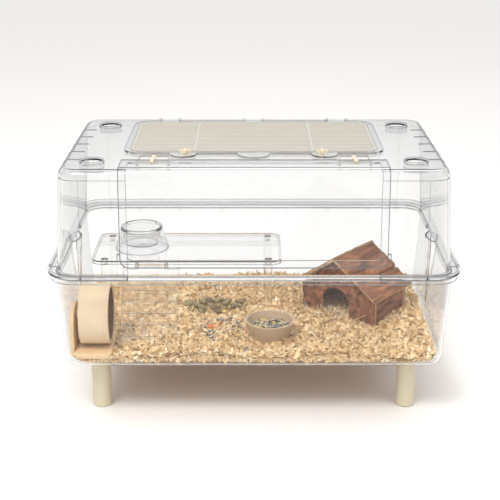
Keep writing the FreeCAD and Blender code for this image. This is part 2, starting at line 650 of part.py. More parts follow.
half = "(hutWidth / 2)"
pitch = "((hutApex - hutEave) / (hutWidth / 2))"
rise = f"sqrt(1 + {pitch} * {pitch})"
gable = [("0", "0"), ("hutWidth", "0"), ("hutWidth", "hutEave"), (half, "hutApex"), ("0", "hutEave")]


def roofSlab(name, sign, inside, outside, thickness):
    """One slab of the roof, from inside to outside, measured from the ridge."""
    points = [(f"{half} + {sign} * ({run})", f"hutApex - ({run}) * {pitch} + {lift}")
              for run, lift in ((inside, "0"), (outside, "0"), (outside, f"{thickness} * {rise}"),
                                (inside, f"{thickness} * {rise}"))]
    return bar(name, points, "-hutPorch", "hutLength + 3")


archBox = block("ArchBox", ("archMiddle - archRadius", "archMiddle + archRadius"),
                ("-hutSlab", "2 * hutSlab"), ("-1", "archSpring"))
archRound = rod("ArchRound", "archRadius", "3 * hutSlab", "archMiddle", "-hutSlab", "archSpring", "y")
sideSpan = ("hutSlab + slabGap", "hutLength - hutSlab - slabGap")
roofReach = f"{half} + hutEaves"
hutPieces = [
    (cut("HutFront", bar("HutFrontSlab", gable, "0", "hutSlab"), fuse("Arch", archBox, archRound)),
     "hut_front"),
    (bar("HutBack", gable, "hutLength - hutSlab", "hutLength"), "hut_back"),
    (bar("HutLeft", [("0", "0"), ("hutSlab", "0"), ("hutSlab", f"hutEave + hutSlab * {pitch}"),
                     ("0", "hutEave")], *sideSpan), "hut_left_wall"),
    (bar("HutRight", [("hutWidth - hutSlab", "0"), ("hutWidth", "0"), ("hutWidth", "hutEave"),
                      ("hutWidth - hutSlab", f"hutEave + hutSlab * {pitch}")], *sideSpan),
     "hut_right_wall"),
    (roofSlab("RoofLeft", -1, "0", roofReach, "hutSlab"), "hut_roof_left"),
    (roofSlab("RoofUpper", 1, "0", f"slabJoint * ({roofReach})", "hutSlab"), "hut_roof_upper"),
    (roofSlab("RoofLower", 1, f"slabJoint * ({roofReach}) + slabGap", roofReach, "hutThin"),
     "hut_roof_lower")]
for piece, label in hutPieces:
    piece.Placement = FreeCAD.Placement(
        FreeCAD.Vector(), FreeCAD.Rotation(FreeCAD.Vector(0, 0, 1), number("hutTurn")))
    piece.setExpression("Placement.Rotation.Angle", sized("hutTurn"))
    node(put(piece, "cageLength / 2 - hutRight", "hutBack", f"{bedTop} + restGap"), label)

# --- cover --------------------------------------------------------------------------------------

coverBase = "(rimHeight + seatGap)"
coverLow = ("cageLength - 2 * (rimWidth + coverInsetLength)",
            "cageDepth - 2 * (rimWidth + coverInsetDepth)", "coverCorner", coverBase)
roofUnder = "(roofHeight - coverWall)"
coverSolid = tapered("CoverSolid", coverLow, "-coverTaper", "roofHeight", "coverEdge")
coverHollow = tapered("CoverHollow", inset(coverLow, "coverWall") + (coverBase,), "-coverTaper",
                      roofUnder, "coverEdge - coverWall")
rimCorner = "tubCorner + rimWidth"
flange = slab("Flange", "cageLength", "cageDepth", rimCorner, coverBase, f"{coverBase} + beadHeight")
flangeDish = slab("FlangeDish", "cageLength - 2 * rimWall", "cageDepth - 2 * rimWall",
                  f"{rimCorner} - rimWall", f"{coverBase} + rimWall", f"{coverBase} + beadHeight")
lipOuter = ("cageLength - 2 * (rimWidth + tubWall + lipGap)",
            "cageDepth - 2 * (rimWidth + tubWall + lipGap)", "tubCorner - tubWall - lipGap")
lipInner = inset(lipOuter, "coverWall")
notchHalf = f"({gripRun} * tan(gripSpread) + tubWall)"
lip = cut("Lip", slab("LipOuter", *lipOuter, "rimHeight - lipDrop", f"{coverBase} + rimWall / 2"),
          slab("LipInner", *lipInner, "rimHeight - lipDrop", f"{coverBase} + rimWall / 2"),
          block("GripNotch", ("-cageLength", "cageLength"),
                (f"gripMiddle - {notchHalf}", f"gripMiddle + {notchHalf}"),
                ("rimHeight - 2 * lipDrop", coverBase)))
shell = cut("CoverShell", fuse("CoverFilled", coverSolid, cut("FlangeTray", flange, flangeDish)),
            coverHollow)

cupFloor = "(roofHeight - cupDepth)"
cups = [rod(f"Cup{index}", "cupRadius + cupWall", "cupDepth + cupLip + cupWall", f"{x} * {legX}",
            f"{y} * {legY}", f"{cupFloor} - cupWall") for index, (x, y) in enumerate(corners)]
cupHoles = [rod(f"CupHole{index}", "cupRadius", "cupDepth + cupLip + 1", f"{x} * {legX}",
                f"{y} * {legY}", cupFloor) for index, (x, y) in enumerate(corners)]

above = "roofHeight + cupWall * 5"
doorOpening = rounded("DoorOpening", block(
    "DoorOpeningBlock", ("doorLap - doorWidth / 2", "doorWidth / 2 - doorLap"),
    ("-cageDepth", "-doorRear - doorLap"), ("doorLow + doorLap", above)), "doorCorner / 2",
    lambda edge: edge.XLength + edge.ZLength < 0.01 and edge.ZMax < number("roofHeight"))
lidMiddle = "(lidRear - lidFront) / 2"
lidDepth = "(lidRear + lidFront)"
roofOpening = put(slab("RoofOpening", "lidWidth - 2 * lidLap", f"{lidDepth} - 2 * lidLap",
                       "lidCorner - lidLap", roofUnder + " - 1", above), 0, lidMiddle)
knobY = "(knobSet - lidFront)"
knobRooms = [rod(f"KnobRoom{side}", "tongueReach + tongueRoom", "coverWall + 2", f"{side} * knobSpread",
                 knobY, f"{roofUnder} - 1") for side in (-1, 1)]
hingeZ = "(roofHeight - hingeSink)"
windows, ears, earHoles, slots = [], [], [], []
for side in (-1, 1):
    middle = f"{side} * hingeSpread"
    windows.append(block(f"Window{side}", (f"{middle} - hingeWindow / 2", f"{middle} + hingeWindow / 2"),
                         ("-windowFront", "-windowRear"), (f"{roofUnder} - 1", above)))
    for end in (-1, 1):
        start = f"{middle} + {end} * (hingeWindow + earWall) / 2 - earWall / 2"
        ears.append(block(f"Ear{side}{end}", (start, f"{start} + earWall"),
                          ("-hingeBack - 2 * hingePin - 1", "-hingeBack + 2 * hingePin + 1"),
                          (f"{hingeZ} - 2 * hingePin - 1", f"{roofUnder} + coverWall / 2")))
    earHoles.append(rod(f"EarHole{side}", "hingePin + pinGap", "hingeWindow + 4 * earWall",
                        f"{middle} - hingeWindow / 2 - 2 * earWall", "-hingeBack", hingeZ, "x"))
    roofEnd = "(cageLength / 2 - rimWidth - coverInsetLength - coverTaper - slotReach)"
    for step in range(-2, 3):
        slots.append(block(f"Slot{side}{step}",
                           (f"{side} * ({roofEnd} + slotReach) - slotReach",
                            f"{side} * ({roofEnd} + slotReach) + slotReach"),
                           (f"slotShift + {step} * slotPitch - slotWidth / 2",
                            f"slotShift + {step} * slotPitch + slotWidth / 2"),
                           ("roofHeight - slotDrop", above)))

lidAxisY = "(lidRear + tabSet)"
lidAxisZ = "(roofHeight + lidGap + lidBarrel)"
tabMiddles = [f"{step} * tabSpread" for step in (-1, 0, 1)]
for index, middle in enumerate(tabMiddles):
    for end in (-1, 1):
        start = f"{middle} + {end} * (tabWidth / 2 + earGap + earWall / 2) - earWall / 2"
        ears.append(rod(f"LidEar{index}{end}Round", "lidBarrel + lidGap", "earWall", start, lidAxisY,
                        lidAxisZ, "x"))
        ears.append(block(f"LidEar{index}{end}Foot", (start, f"{start} + earWall"),
                          (f"{lidAxisY} - lidBarrel - lidGap", f"{lidAxisY} + lidBarrel + lidGap"),
                          (f"{roofUnder} + coverWall / 2", lidAxisZ)))
lidPinHole = rod("LidPinHole", "lidPin + pinGap", "lidWidth", "-lidWidth / 2", lidAxisY, lidAxisZ, "x")
cover = cut("Cover", fuse("CoverWhole", shell, lip, *cups, *ears), *cupHoles, doorOpening, roofOpening,
            *knobRooms, *windows, *earHoles, *slots, lidPinHole)

# The cover is made in welded parts: a roof, four corners, and straight walls between them.
partEnd = "(cageLength / 2 - partInset)"
partSide = "(cageDepth / 2 - partInset)"
partTop = "(roofHeight - partDrop)"
doorHalf = "(doorWidth / 2 - doorLap)"
ends = {"Left": ("-cageLength", f"-{partEnd}"), "Right": (partEnd, "cageLength")}
fronts = {"Left": (f"-{partEnd}", f"-{doorHalf}"), "Middle": (f"-{doorHalf}", doorHalf),
          "Right": (doorHalf, partEnd)}
cells = {"Roof": (("-cageLength", "cageLength"), ("-cageDepth", "cageDepth"), (partTop, above)),
         "Back": ((f"-{partEnd}", partEnd), (partSide, "cageDepth"), ("0", partTop))}
for side, span in fronts.items():
    cells[f"Front{side}"] = (span, ("-cageDepth", f"-{partSide}"), ("0", partTop))
for side, span in ends.items():
    cells[f"{side}Front"] = (span, ("-cageDepth", f"-{partSide}"), ("0", partTop))
    cells[f"{side}Wall"] = (span, (f"-{partSide}", partSide), ("0", partTop))
    cells[f"{side}Back"] = (span, (partSide, "cageDepth"), ("0", partTop))
coverParts = [common(f"Cover{name}", cover, block(f"Cell{name}", *spans)) for name, spans in cells.items()]
node(group("CoverParts", *coverParts), "top_cover")

pinReach = "(hingeWindow + 2 * earWall + 2)"
for side, place in ((-1, "left"), (1, "right")):
    node(rod(f"HingePin{place}", "hingePin", pinReach, f"{side} * hingeSpread - {pinReach} / 2",
             "-hingeBack", hingeZ, "x"), "door_pin_" + place)
lidPinLength = "(tabWidth + 2 * earWall + 4 * earGap)"
node(group("LidPins", *[rod(f"LidPin{index}", "lidPin", lidPinLength, f"{middle} - {lidPinLength} / 2",
                            lidAxisY, lidAxisZ, "x") for index, middle in enumerate(tabMiddles)]),
     "vent_hinge_pins")

# --- front door ---------------------------------------------------------------------------------

doorTop = "(roofHeight + doorGap + doorWall)"
doorOuter = tapered("DoorOuter", inset(coverLow, "-doorGap - doorWall") + (coverBase,),
                    "-coverTaper", doorTop, "coverEdge + doorGap + doorWall")
doorInner = tapered("DoorInner", inset(coverLow, "-doorGap") + (coverBase,), "-coverTaper",
                    "roofHeight + doorGap", "coverEdge + doorGap")
doorReach = rounded("DoorReach", block("DoorReachBlock", ("-doorWidth / 2", "doorWidth / 2"),
                                       ("-cageDepth", "-doorRear"), ("doorLow", above)),
                    "doorCorner", lambda edge: edge.XLength + edge.ZLength < 0.01
                    and edge.ZMax < number("roofHeight"))
footPlace = "(-doorRear - clipFoot / 2)"
footHoles = [rod(f"FootHole{side}", "hingePin / 2 + pinGap", "3 * doorWall", f"{side} * hingeSpread",
                 footPlace, "roofHeight") for side in (-1, 1)]
node(cut("Door", common("DoorSkin", cut("DoorShell", doorOuter, doorInner), doorReach), *footHoles),
     "front_door")
for side, place in ((-1, "left"), (1, "right")):
    middle = f"{side} * hingeSpread"
    span = (f"{middle} - clipWidth / 2", f"{middle} + clipWidth / 2")
    clip = fuse(
        f"Clip{place}Whole",
        rod(f"ClipBarrel{place}", lugRadius, "3 * clipWidth", f"{middle} - 1.5 * clipWidth", "-hingeBack",
            hingeZ, "x"),
        block(f"ClipWeb{place}", span, ("-doorRear", "-hingeBack"), (hingeZ, f"{doorTop} + clipHeight")),
        block(f"ClipTop{place}", span, ("-doorRear - clipFoot", "-doorRear + 1"),
              (doorTop, f"{doorTop} + clipHeight")),
        block(f"ClipTail{place}", span, ("-hingeBack", "clipTail - hingeBack"),
              (f"{hingeZ} + hingePin", f"{hingeZ} + hingePin + 2 * clipHeight")),
        rod(f"ClipPeg{place}", "hingePin / 2", "doorWall + clipHeight / 2", middle, footPlace,
            f"{doorTop} - doorWall"))
    bore = rod(f"ClipBore{place}", "hingePin + pinGap", "5 * clipWidth", f"{middle} - 2.5 * clipWidth",
               "-hingeBack", hingeZ, "x")
    node(cut(f"Clip{place}", clip, bore), "door_clip_" + place)
snapFront = ("(cageDepth / 2 - rimWidth - coverInsetDepth - coverTaper"
             f" * (doorLow + doorLap - {coverBase}) / (roofHeight - {coverBase}))")
node(group("Snaps", *[block(f"Snap{side}", (f"{side} * (doorWidth + snapWidth) / 2 - snapWidth / 2",
                                           f"{side} * (doorWidth + snapWidth) / 2 + snapWidth / 2"),
                            (f"-{snapFront} - snapDepth - 2 * doorGap", f"-{snapFront} - 2 * doorGap"),
                            ("doorLow + doorLap", "doorLow + doorLap + snapLength"))
                      for side in (-1, 1)]), "door_snaps")

# --- vent lid -----------------------------------------------------------------------------------

lidLow = "(roofHeight + lidGap)"
lidTop = f"({lidLow} + lidWall)"
lidPlate = put(slab("LidPlate", "lidWidth", lidDepth, "lidCorner", lidLow, lidTop), 0, lidMiddle)
lobes = [rod(f"Lobe{side}", "lobeRadius", "lidWall", f"{side} * lobeSpread", "-lidFront - lobeSet", lidLow)
         for side in (-1, 1)]
moon = rod("Moon", "moonRadius", "lidWall", 0, "-lidFront - lobeSet", lidLow)
tongues, barrels = [], []
for index, middle in enumerate(tabMiddles):
    tongues.append(block(f"LidTongue{index}", (f"{middle} - tabWidth / 2", f"{middle} + tabWidth / 2"),
                         ("lidRear - lidBorder / 2", lidAxisY), (lidLow, lidTop)))
    barrels.append(rod(f"LidBarrel{index}", "lidBarrel", "tabWidth", f"{middle} - tabWidth / 2",
                       lidAxisY, lidAxisZ, "x"))
grilleSize = ("lidWidth - 2 * lidBorder", f"{lidDepth} - 2 * lidBorder", "lidCorner - lidBorder")
lidHole = put(slab("LidHole", *grilleSize, f"{lidLow} - 1", f"{lidTop} + 1"), 0, lidMiddle)
shaftHoles = [rod(f"ShaftHole{side}", "knobShaft + pinGap", "3 * lidWall", f"{side} * knobSpread", knobY,
                  f"{lidLow} - lidWall") for side in (-1, 1)]
barrelHole = rod("BarrelHole", "lidPin + pinGap", "lidWidth", "-lidWidth / 2", lidAxisY, lidAxisZ, "x")
node(cut("LidFrame", fuse("LidWhole", lidPlate, moon, *lobes, *tongues, *barrels), lidHole, *shaftHoles,
         barrelHole), "vent_frame")

grilleOuter = inset(grilleSize, "grilleGap")
grilleInner = inset(grilleSize, "grilleGap + ribWidth")
grilleBlock = put(slab("GrilleBlock", *grilleOuter, lidLow, lidTop), 0, lidMiddle)
grilleRing = cut("GrilleRing", put(slab("GrilleEdge", *grilleOuter, lidLow, lidTop), 0, lidMiddle),
                 put(slab("GrilleMiddle", *grilleInner, lidLow, lidTop), 0, lidMiddle))
slatCount = int(number(f"({grilleInner[1]})") / number("slatPitch"))
slats = [block(f"Slat{index}", ("-lidWidth / 2", "lidWidth / 2"),
               (f"{lidMiddle} + {index - (slatCount - 1) / 2} * slatPitch - slatWidth / 2",
                f"{lidMiddle} + {index - (slatCount - 1) / 2} * slatPitch + slatWidth / 2"),
               (lidLow, lidTop)) for index in range(slatCount)]
ribs = [block(f"Rib{side}", (f"{side} * ribSpread - ribWidth / 2", f"{side} * ribSpread + ribWidth / 2"),
              ("-lidFront", "lidRear"), (lidLow, lidTop)) for side in (-1, 1)]
bars = common("GrilleBars", fuse("GrilleSlats", *slats, *ribs), grilleBlock)
node(fuse("Grille", grilleRing, bars), "vent_grille")

for side, place in ((-1, "left"), (1, "right")):
    middle = f"{side} * knobSpread"
    knob = fuse(
        f"Knob{place}",
        rod(f"KnobDisc{place}", "2 * knobShaft", "knobHeight / 3", middle, knobY, f"{lidTop} + grilleGap"),
        block(f"KnobAcross{place}", (f"{middle} - knobSpan / 2", f"{middle} + knobSpan / 2"),
              (f"{knobY} - knobBar / 2", f"{knobY} + knobBar / 2"),
              (f"{lidTop} + grilleGap", f"{lidTop} + knobHeight")),
        block(f"KnobAlong{place}", (f"{middle} - knobBar / 2", f"{middle} + knobBar / 2"),
              (f"{knobY} - knobSpan / 2", f"{knobY} + knobSpan / 2"),
              (f"{lidTop} + grilleGap", f"{lidTop} + knobHeight")),
        rod(f"KnobShaft{place}", "knobShaft", f"{lidTop} - {roofUnder} + 2 * tongueHeight", middle, knobY,
            f"{roofUnder} - tongueHeight"),
        block(f"KnobTongue{place}", (f"{middle} - tongueReach", f"{middle} + tongueReach"),
              (f"{knobY} - knobBar / 2", f"{knobY} + knobBar / 2"),
              (f"{roofUnder} - tongueHeight", roofUnder)))
    node(knob, "knob_" + place)

# --- checks and files ---------------------------------------------------------------------------

doc.recompute()
for item in doc.Objects:
    if "Invalid" in item.State or "Error" in item.State:
        raise RuntimeError(f"{item.Label} failed: {item.State}")
for piece in nodes:
    if piece.Shape.isNull() or not piece.Shape.isValid():
        raise RuntimeError(f"{piece.Label} has no valid shape")
os.makedirs("parts", exist_ok=True)
for piece in nodes:
    piece.Shape.exportStep(os.path.join("parts", piece.Label + ".step"))
    box = piece.Shape.BoundBox
    print(f"{piece.Label:18} solids {len(piece.Shape.Solids):2} volume {piece.Shape.Volume / 1000:9.2f} cm3"
          f"  x {box.XMin:7.1f} {box.XMax:7.1f}  y {box.YMin:7.1f} {box.YMax:7.1f}"
          f"  z {box.ZMin:6.1f} {box.ZMax:6.1f}")
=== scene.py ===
import json
import math
import random

import bmesh
import bpy
from mathutils import Euler, Matrix, Vector, noise

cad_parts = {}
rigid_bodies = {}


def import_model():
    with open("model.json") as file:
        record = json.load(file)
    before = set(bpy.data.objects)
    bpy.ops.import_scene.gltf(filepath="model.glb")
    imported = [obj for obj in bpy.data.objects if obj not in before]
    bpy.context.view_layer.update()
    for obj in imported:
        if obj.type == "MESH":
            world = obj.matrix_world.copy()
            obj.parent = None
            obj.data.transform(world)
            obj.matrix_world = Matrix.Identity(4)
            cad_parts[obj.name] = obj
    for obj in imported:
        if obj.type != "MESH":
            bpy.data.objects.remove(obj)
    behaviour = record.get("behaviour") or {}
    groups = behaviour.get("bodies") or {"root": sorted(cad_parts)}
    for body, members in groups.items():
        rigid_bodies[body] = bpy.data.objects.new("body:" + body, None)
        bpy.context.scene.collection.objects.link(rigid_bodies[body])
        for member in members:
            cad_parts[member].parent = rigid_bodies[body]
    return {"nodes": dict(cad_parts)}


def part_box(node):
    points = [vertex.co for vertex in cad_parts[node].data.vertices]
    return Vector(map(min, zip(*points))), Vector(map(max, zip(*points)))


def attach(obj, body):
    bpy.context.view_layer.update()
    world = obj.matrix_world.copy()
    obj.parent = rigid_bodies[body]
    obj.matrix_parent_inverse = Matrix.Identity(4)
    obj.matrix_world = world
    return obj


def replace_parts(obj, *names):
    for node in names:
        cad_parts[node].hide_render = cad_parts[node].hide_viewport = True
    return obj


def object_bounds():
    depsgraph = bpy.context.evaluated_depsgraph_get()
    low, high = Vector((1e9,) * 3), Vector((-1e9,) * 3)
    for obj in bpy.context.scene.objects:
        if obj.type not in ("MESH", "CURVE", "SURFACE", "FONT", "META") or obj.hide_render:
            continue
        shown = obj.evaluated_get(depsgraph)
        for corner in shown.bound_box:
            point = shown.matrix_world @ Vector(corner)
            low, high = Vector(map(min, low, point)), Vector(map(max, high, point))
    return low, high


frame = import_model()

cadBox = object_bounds()
cadNodes = frame["nodes"]
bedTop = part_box("bedding")[1][2]
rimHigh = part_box("base_tub")[1]

# camera, floor and light

studio = {
    "cameraPlace": (-0.0055, -1.6585, 0.7719),
    "cameraDrop": 18.9,          # degrees below level
    "lens": 81.98,
    "floorColour": (0.93, 0.915, 0.90),
    "worldColour": (1.0, 0.995, 0.985),
    "worldStrength": 1.08,
    "sideStart": 0.60,           # where the world turns darker to either side
    "sideSpread": 0.25,
    "sideShade": 0.12,
    "lowColour": (0.38, 0.38, 0.39),
    "lowEnd": 0.35,
    "lightAim": (0, 0, 0.15),
    "lights": {                  # place, size in metres and power in watts
        "key": ((-0.9, -1.3, 2.2), 0.9, 34),
        "fill": ((1.6, -1.0, 1.5), 1.6, 5),
        "back": ((0.3, 1.8, 1.9), 1.4, 3.5),
    },
}


def buildStudio():
    cameraData = bpy.data.cameras.new("camera")
    cameraData.lens = studio["lens"]
    cameraData.sensor_width = 36
    camera = bpy.data.objects.new("camera", cameraData)
    camera.location = studio["cameraPlace"]
    camera.rotation_euler = (math.radians(90 - studio["cameraDrop"]), 0, 0)
    bpy.context.scene.collection.objects.link(camera)
    bpy.context.scene.camera = camera

    bpy.ops.mesh.primitive_plane_add(size=30, location=(0, 0, 0))
    floor = bpy.context.object
    floor.name = "floor"
    floorMaterial = bpy.data.materials.new("floorPaint")
    floorMaterial.use_nodes = True
    shader = floorMaterial.node_tree.nodes["Principled BSDF"]
    shader.inputs["Base Color"].default_value = (*studio["floorColour"], 1)
    shader.inputs["Roughness"].default_value = 0.9
    shader.inputs["Specular IOR Level"].default_value = 0.1
    floor.data.materials.append(floorMaterial)

    world = bpy.context.scene.world or bpy.data.worlds.new("studioWorld")
    bpy.context.scene.world = world
    world.use_nodes = True
    nodes, links = world.node_tree.nodes, world.node_tree.links
    background = next(node for node in nodes if node.type == "BACKGROUND")
    background.inputs["Strength"].default_value = studio["worldStrength"]
    coordinates = nodes.new("ShaderNodeTexCoord")
    split = nodes.new("ShaderNodeSeparateXYZ")
    ramp = nodes.new("ShaderNodeValToRGB")
    links.new(coordinates.outputs["Generated"], split.inputs["Vector"])
    links.new(split.outputs["Z"], ramp.inputs["Fac"])
    sideways = nodes.new("ShaderNodeMath")
    sideways.operation = "ABSOLUTE"
    links.new(split.outputs["X"], sideways.inputs[0])
    band = nodes.new("ShaderNodeMapRange")
    band.inputs["From Min"].default_value = studio["sideStart"]
    band.inputs["From Max"].default_value = studio["sideStart"] + studio["sideSpread"]
    band.inputs["To Min"].default_value = 1
    band.inputs["To Max"].default_value = studio["sideShade"]
    links.new(sideways.outputs[0], band.inputs["Value"])
    shade = nodes.new("ShaderNodeVectorMath")
    shade.operation = "SCALE"
    links.new(ramp.outputs["Color"], shade.inputs[0])
    links.new(band.outputs["Result"], shade.inputs["Scale"])
    links.new(shade.outputs[0], background.inputs["Color"])
    ramp.color_ramp.elements[0].position = 0.0
    ramp.color_ramp.elements[0].color = (*studio["lowColour"], 1)
    ramp.color_ramp.elements[1].position = studio["lowEnd"]
    ramp.color_ramp.elements[1].color = (*studio["worldColour"], 1)

    for name, (place, size, power) in studio["lights"].items():
        data = bpy.data.lights.new(name, "AREA")
        data.size = size
        data.energy = power
        lamp = bpy.data.objects.new(name, data)
        lamp.location = place
        toCage = Vector(studio["lightAim"]) - Vector(place)
        lamp.rotation_euler = toCage.to_track_quat("-Z", "Y").to_euler()
        bpy.context.scene.collection.objects.link(lamp)

    scene = bpy.context.scene
    scene.view_settings.view_transform = "Standard"
    scene.view_settings.look = "None"
    scene.cycles.max_bounces = 24
    scene.cycles.transmission_bounces = 24
    scene.cycles.transparent_max_bounces = 32
    scene.cycles.glossy_bounces = 6
    scene.cycles.diffuse_bounces = 4
    print("studio ready")


# shared shader groups

def makeGroup(name, inputs, outputs):
    tree = bpy.data.node_groups.new(name, "ShaderNodeTree")
    for socketName, socketType, value in inputs:
        socket = tree.interface.new_socket(socketName, in_out="INPUT", socket_type=socketType)
        socket.default_value = value
    for socketName, socketType in outputs:
        tree.interface.new_socket(socketName, in_out="OUTPUT", socket_type=socketType)
    return tree, tree.nodes.new("NodeGroupInput"), tree.nodes.new("NodeGroupOutput")


# Mixes two colours; each value given is a plain one or another node's output.
def mixColours(nodes, links, first, second, amount, blend="MIX"):
    mix = nodes.new("ShaderNodeMix")
    mix.data_type = "RGBA"
    mix.blend_type = blend
    for socket, value in (("Factor", amount), ("A", first), ("B", second)):
        if isinstance(value, (tuple, int, float)):
            mix.inputs[socket].default_value = value
        else:
            links.new(value, mix.inputs[socket])
    return mix.outputs["Result"]


# Long wood grain along X of the vector it is given.
def buildGrainGroup():
    tree, given, out = makeGroup(
        "woodGrain",
        [("Vector", "NodeSocketVector", (0, 0, 0)), ("Scale", "NodeSocketFloat", 60.0),
         ("Stretch", "NodeSocketFloat", 0.08), ("Light", "NodeSocketColor", (0.8, 0.6, 0.4, 1)),
         ("Dark", "NodeSocketColor", (0.5, 0.3, 0.2, 1)), ("Contrast", "NodeSocketFloat", 0.5)],
        [("Color", "NodeSocketColor"), ("Height", "NodeSocketFloat")])
    nodes, links = tree.nodes, tree.links
    squeeze = nodes.new("ShaderNodeCombineXYZ")
    squeeze.inputs["Y"].default_value = 1
    squeeze.inputs["Z"].default_value = 1
    links.new(given.outputs["Stretch"], squeeze.inputs["X"])
    stretched = nodes.new("ShaderNodeVectorMath")
    stretched.operation = "MULTIPLY"
    links.new(given.outputs["Vector"], stretched.inputs[0])
    links.new(squeeze.outputs[0], stretched.inputs[1])
    broad = nodes.new("ShaderNodeTexNoise")
    broad.inputs["Detail"].default_value = 6
    broad.inputs["Roughness"].default_value = 0.62
    broad.inputs["Distortion"].default_value = 0.4
    links.new(stretched.outputs[0], broad.inputs["Vector"])
    links.new(given.outputs["Scale"], broad.inputs["Scale"])
    spread = nodes.new("ShaderNodeMapRange")
    spread.inputs["From Min"].default_value = 0.32
    spread.inputs["From Max"].default_value = 0.68
    links.new(broad.outputs["Fac"], spread.inputs["Value"])
    amount = nodes.new("ShaderNodeMath")
    amount.operation = "MULTIPLY"
    links.new(spread.outputs["Result"], amount.inputs[0])
    links.new(given.outputs["Contrast"], amount.inputs[1])
    colour = mixColours(nodes, links, given.outputs["Light"], given.outputs["Dark"], amount.outputs[0])
    links.new(colour, out.inputs["Color"])
    links.new(broad.outputs["Fac"], out.inputs["Height"])
    return tree


# A soft change of colour and finish, for anything moulded or fired.
def buildMottleGroup():
    tree, given, out = makeGroup(
        "mottle",
        [("Vector", "NodeSocketVector", (0, 0, 0)), ("Scale", "NodeSocketFloat", 40.0),
         ("Base", "NodeSocketColor", (0.8, 0.8, 0.8, 1)), ("Other", "NodeSocketColor", (0.7, 0.7, 0.7, 1)),
         ("Rough Low", "NodeSocketFloat", 0.3), ("Rough High", "NodeSocketFloat", 0.45)],
        [("Color", "NodeSocketColor"), ("Roughness", "NodeSocketFloat"), ("Height", "NodeSocketFloat")])
    nodes, links = tree.nodes, tree.links
    cloud = nodes.new("ShaderNodeTexNoise")
    cloud.inputs["Detail"].default_value = 4
    links.new(given.outputs["Vector"], cloud.inputs["Vector"])
    links.new(given.outputs["Scale"], cloud.inputs["Scale"])
    colour = mixColours(nodes, links, given.outputs["Base"], given.outputs["Other"], cloud.outputs["Fac"])
    rough = nodes.new("ShaderNodeMapRange")
    links.new(cloud.outputs["Fac"], rough.inputs["Value"])
    links.new(given.outputs["Rough Low"], rough.inputs["To Min"])
    links.new(given.outputs["Rough High"], rough.inputs["To Max"])
    fine = nodes.new("ShaderNodeTexNoise")
    fine.inputs["Scale"].default_value = 900
    fine.inputs["Detail"].default_value = 2
    links.new(given.outputs["Vector"], fine.inputs["Vector"])
    links.new(colour, out.inputs["Color"])
    links.new(rough.outputs["Result"], out.inputs["Roughness"])
    links.new(fine.outputs["Fac"], out.inputs["Height"])
    return tree


# materials

def newMaterial(name):
    material = bpy.data.materials.new(name)
    material.use_nodes = True
    nodes, links = material.node_tree.nodes, material.node_tree.links
    shader = nodes["Principled BSDF"]
    coordinates = nodes.new("ShaderNodeTexCoord")
    return material, nodes, links, shader, coordinates.outputs["Object"]


def addBump(nodes, links, shader, height, strength, distance):
    bump = nodes.new("ShaderNodeBump")
    bump.inputs["Strength"].default_value = strength
    bump.inputs["Distance"].default_value = distance
    links.new(height, bump.inputs["Height"])
    links.new(bump.outputs["Normal"], shader.inputs["Normal"])


def addGroup(nodes, tree, **values):
    group = nodes.new("ShaderNodeGroup")
    group.node_tree = tree
    for name, value in values.items():
        group.inputs[name.replace("_", " ")].default_value = value
    return group


def readAttribute(nodes, name):
    attribute = nodes.new("ShaderNodeAttribute")
    attribute.attribute_name = name
    return attribute.outputs["Fac"]


clearFinish = {
    "tint": (0.965, 0.970, 0.973), "ior": 1.36, "shadow": 0.07,
    "grazingShadeStart": 0.72, "grazingShadeEnd": 0.97, "grazingShadeTint": (0.06, 0.063, 0.07),   # painted shade: clear plastic turns darker where it is seen at a grazing angle
}


# Moulded clear plastic. It lets light through to what is inside without a hard shadow.
def clearPlastic(name, tint=None, roughLow=0.015, roughHigh=0.05, ripple=0.02):
    material, nodes, links, shader, place = newMaterial(name)
    colour = tint or clearFinish["tint"]
    mottle = addGroup(nodes, mottleTree, Scale=9.0, Base=(*colour, 1),
                      Other=(*[c * 0.985 for c in colour], 1), Rough_Low=roughLow, Rough_High=roughHigh)
    links.new(place, mottle.inputs["Vector"])
    # Painted shade: the base colour is darkened where the surface is seen at a grazing angle, standing in
    # for the dark look that light gives clear plastic's edges.
    glancing = nodes.new("ShaderNodeLayerWeight")
    glancing.inputs["Blend"].default_value = 0.5
    edge = nodes.new("ShaderNodeValToRGB")
    edge.color_ramp.elements[0].position = clearFinish["grazingShadeStart"]
    edge.color_ramp.elements[0].color = (1, 1, 1, 1)
    edge.color_ramp.elements[1].position = clearFinish["grazingShadeEnd"]
    edge.color_ramp.elements[1].color = (*clearFinish["grazingShadeTint"], 1)
    links.new(glancing.outputs["Facing"], edge.inputs["Fac"])
    paintedGrazingShade = mixColours(nodes, links, mottle.outputs["Color"], edge.outputs["Color"], 1, "MULTIPLY")
    links.new(paintedGrazingShade, shader.inputs["Base Color"])
    links.new(mottle.outputs["Roughness"], shader.inputs["Roughness"])
    shader.inputs["Transmission Weight"].default_value = 1.0
    shader.inputs["IOR"].default_value = clearFinish["ior"]
    wave = nodes.new("ShaderNodeTexNoise")
    wave.inputs["Scale"].default_value = 14
    links.new(place, wave.inputs["Vector"])
    addBump(nodes, links, shader, wave.outputs["Fac"], ripple, 0.002)
    path = nodes.new("ShaderNodeLightPath")
    either = nodes.new("ShaderNodeMath")
    either.operation = "MAXIMUM"
    links.new(path.outputs["Is Shadow Ray"], either.inputs[0])
    links.new(path.outputs["Is Diffuse Ray"], either.inputs[1])
    alpha = nodes.new("ShaderNodeMapRange")
    alpha.inputs["To Min"].default_value = 1.0
    alpha.inputs["To Max"].default_value = clearFinish["shadow"]
    links.new(either.outputs[0], alpha.inputs["Value"])
    links.new(alpha.outputs["Result"], shader.inputs["Alpha"])
    return material


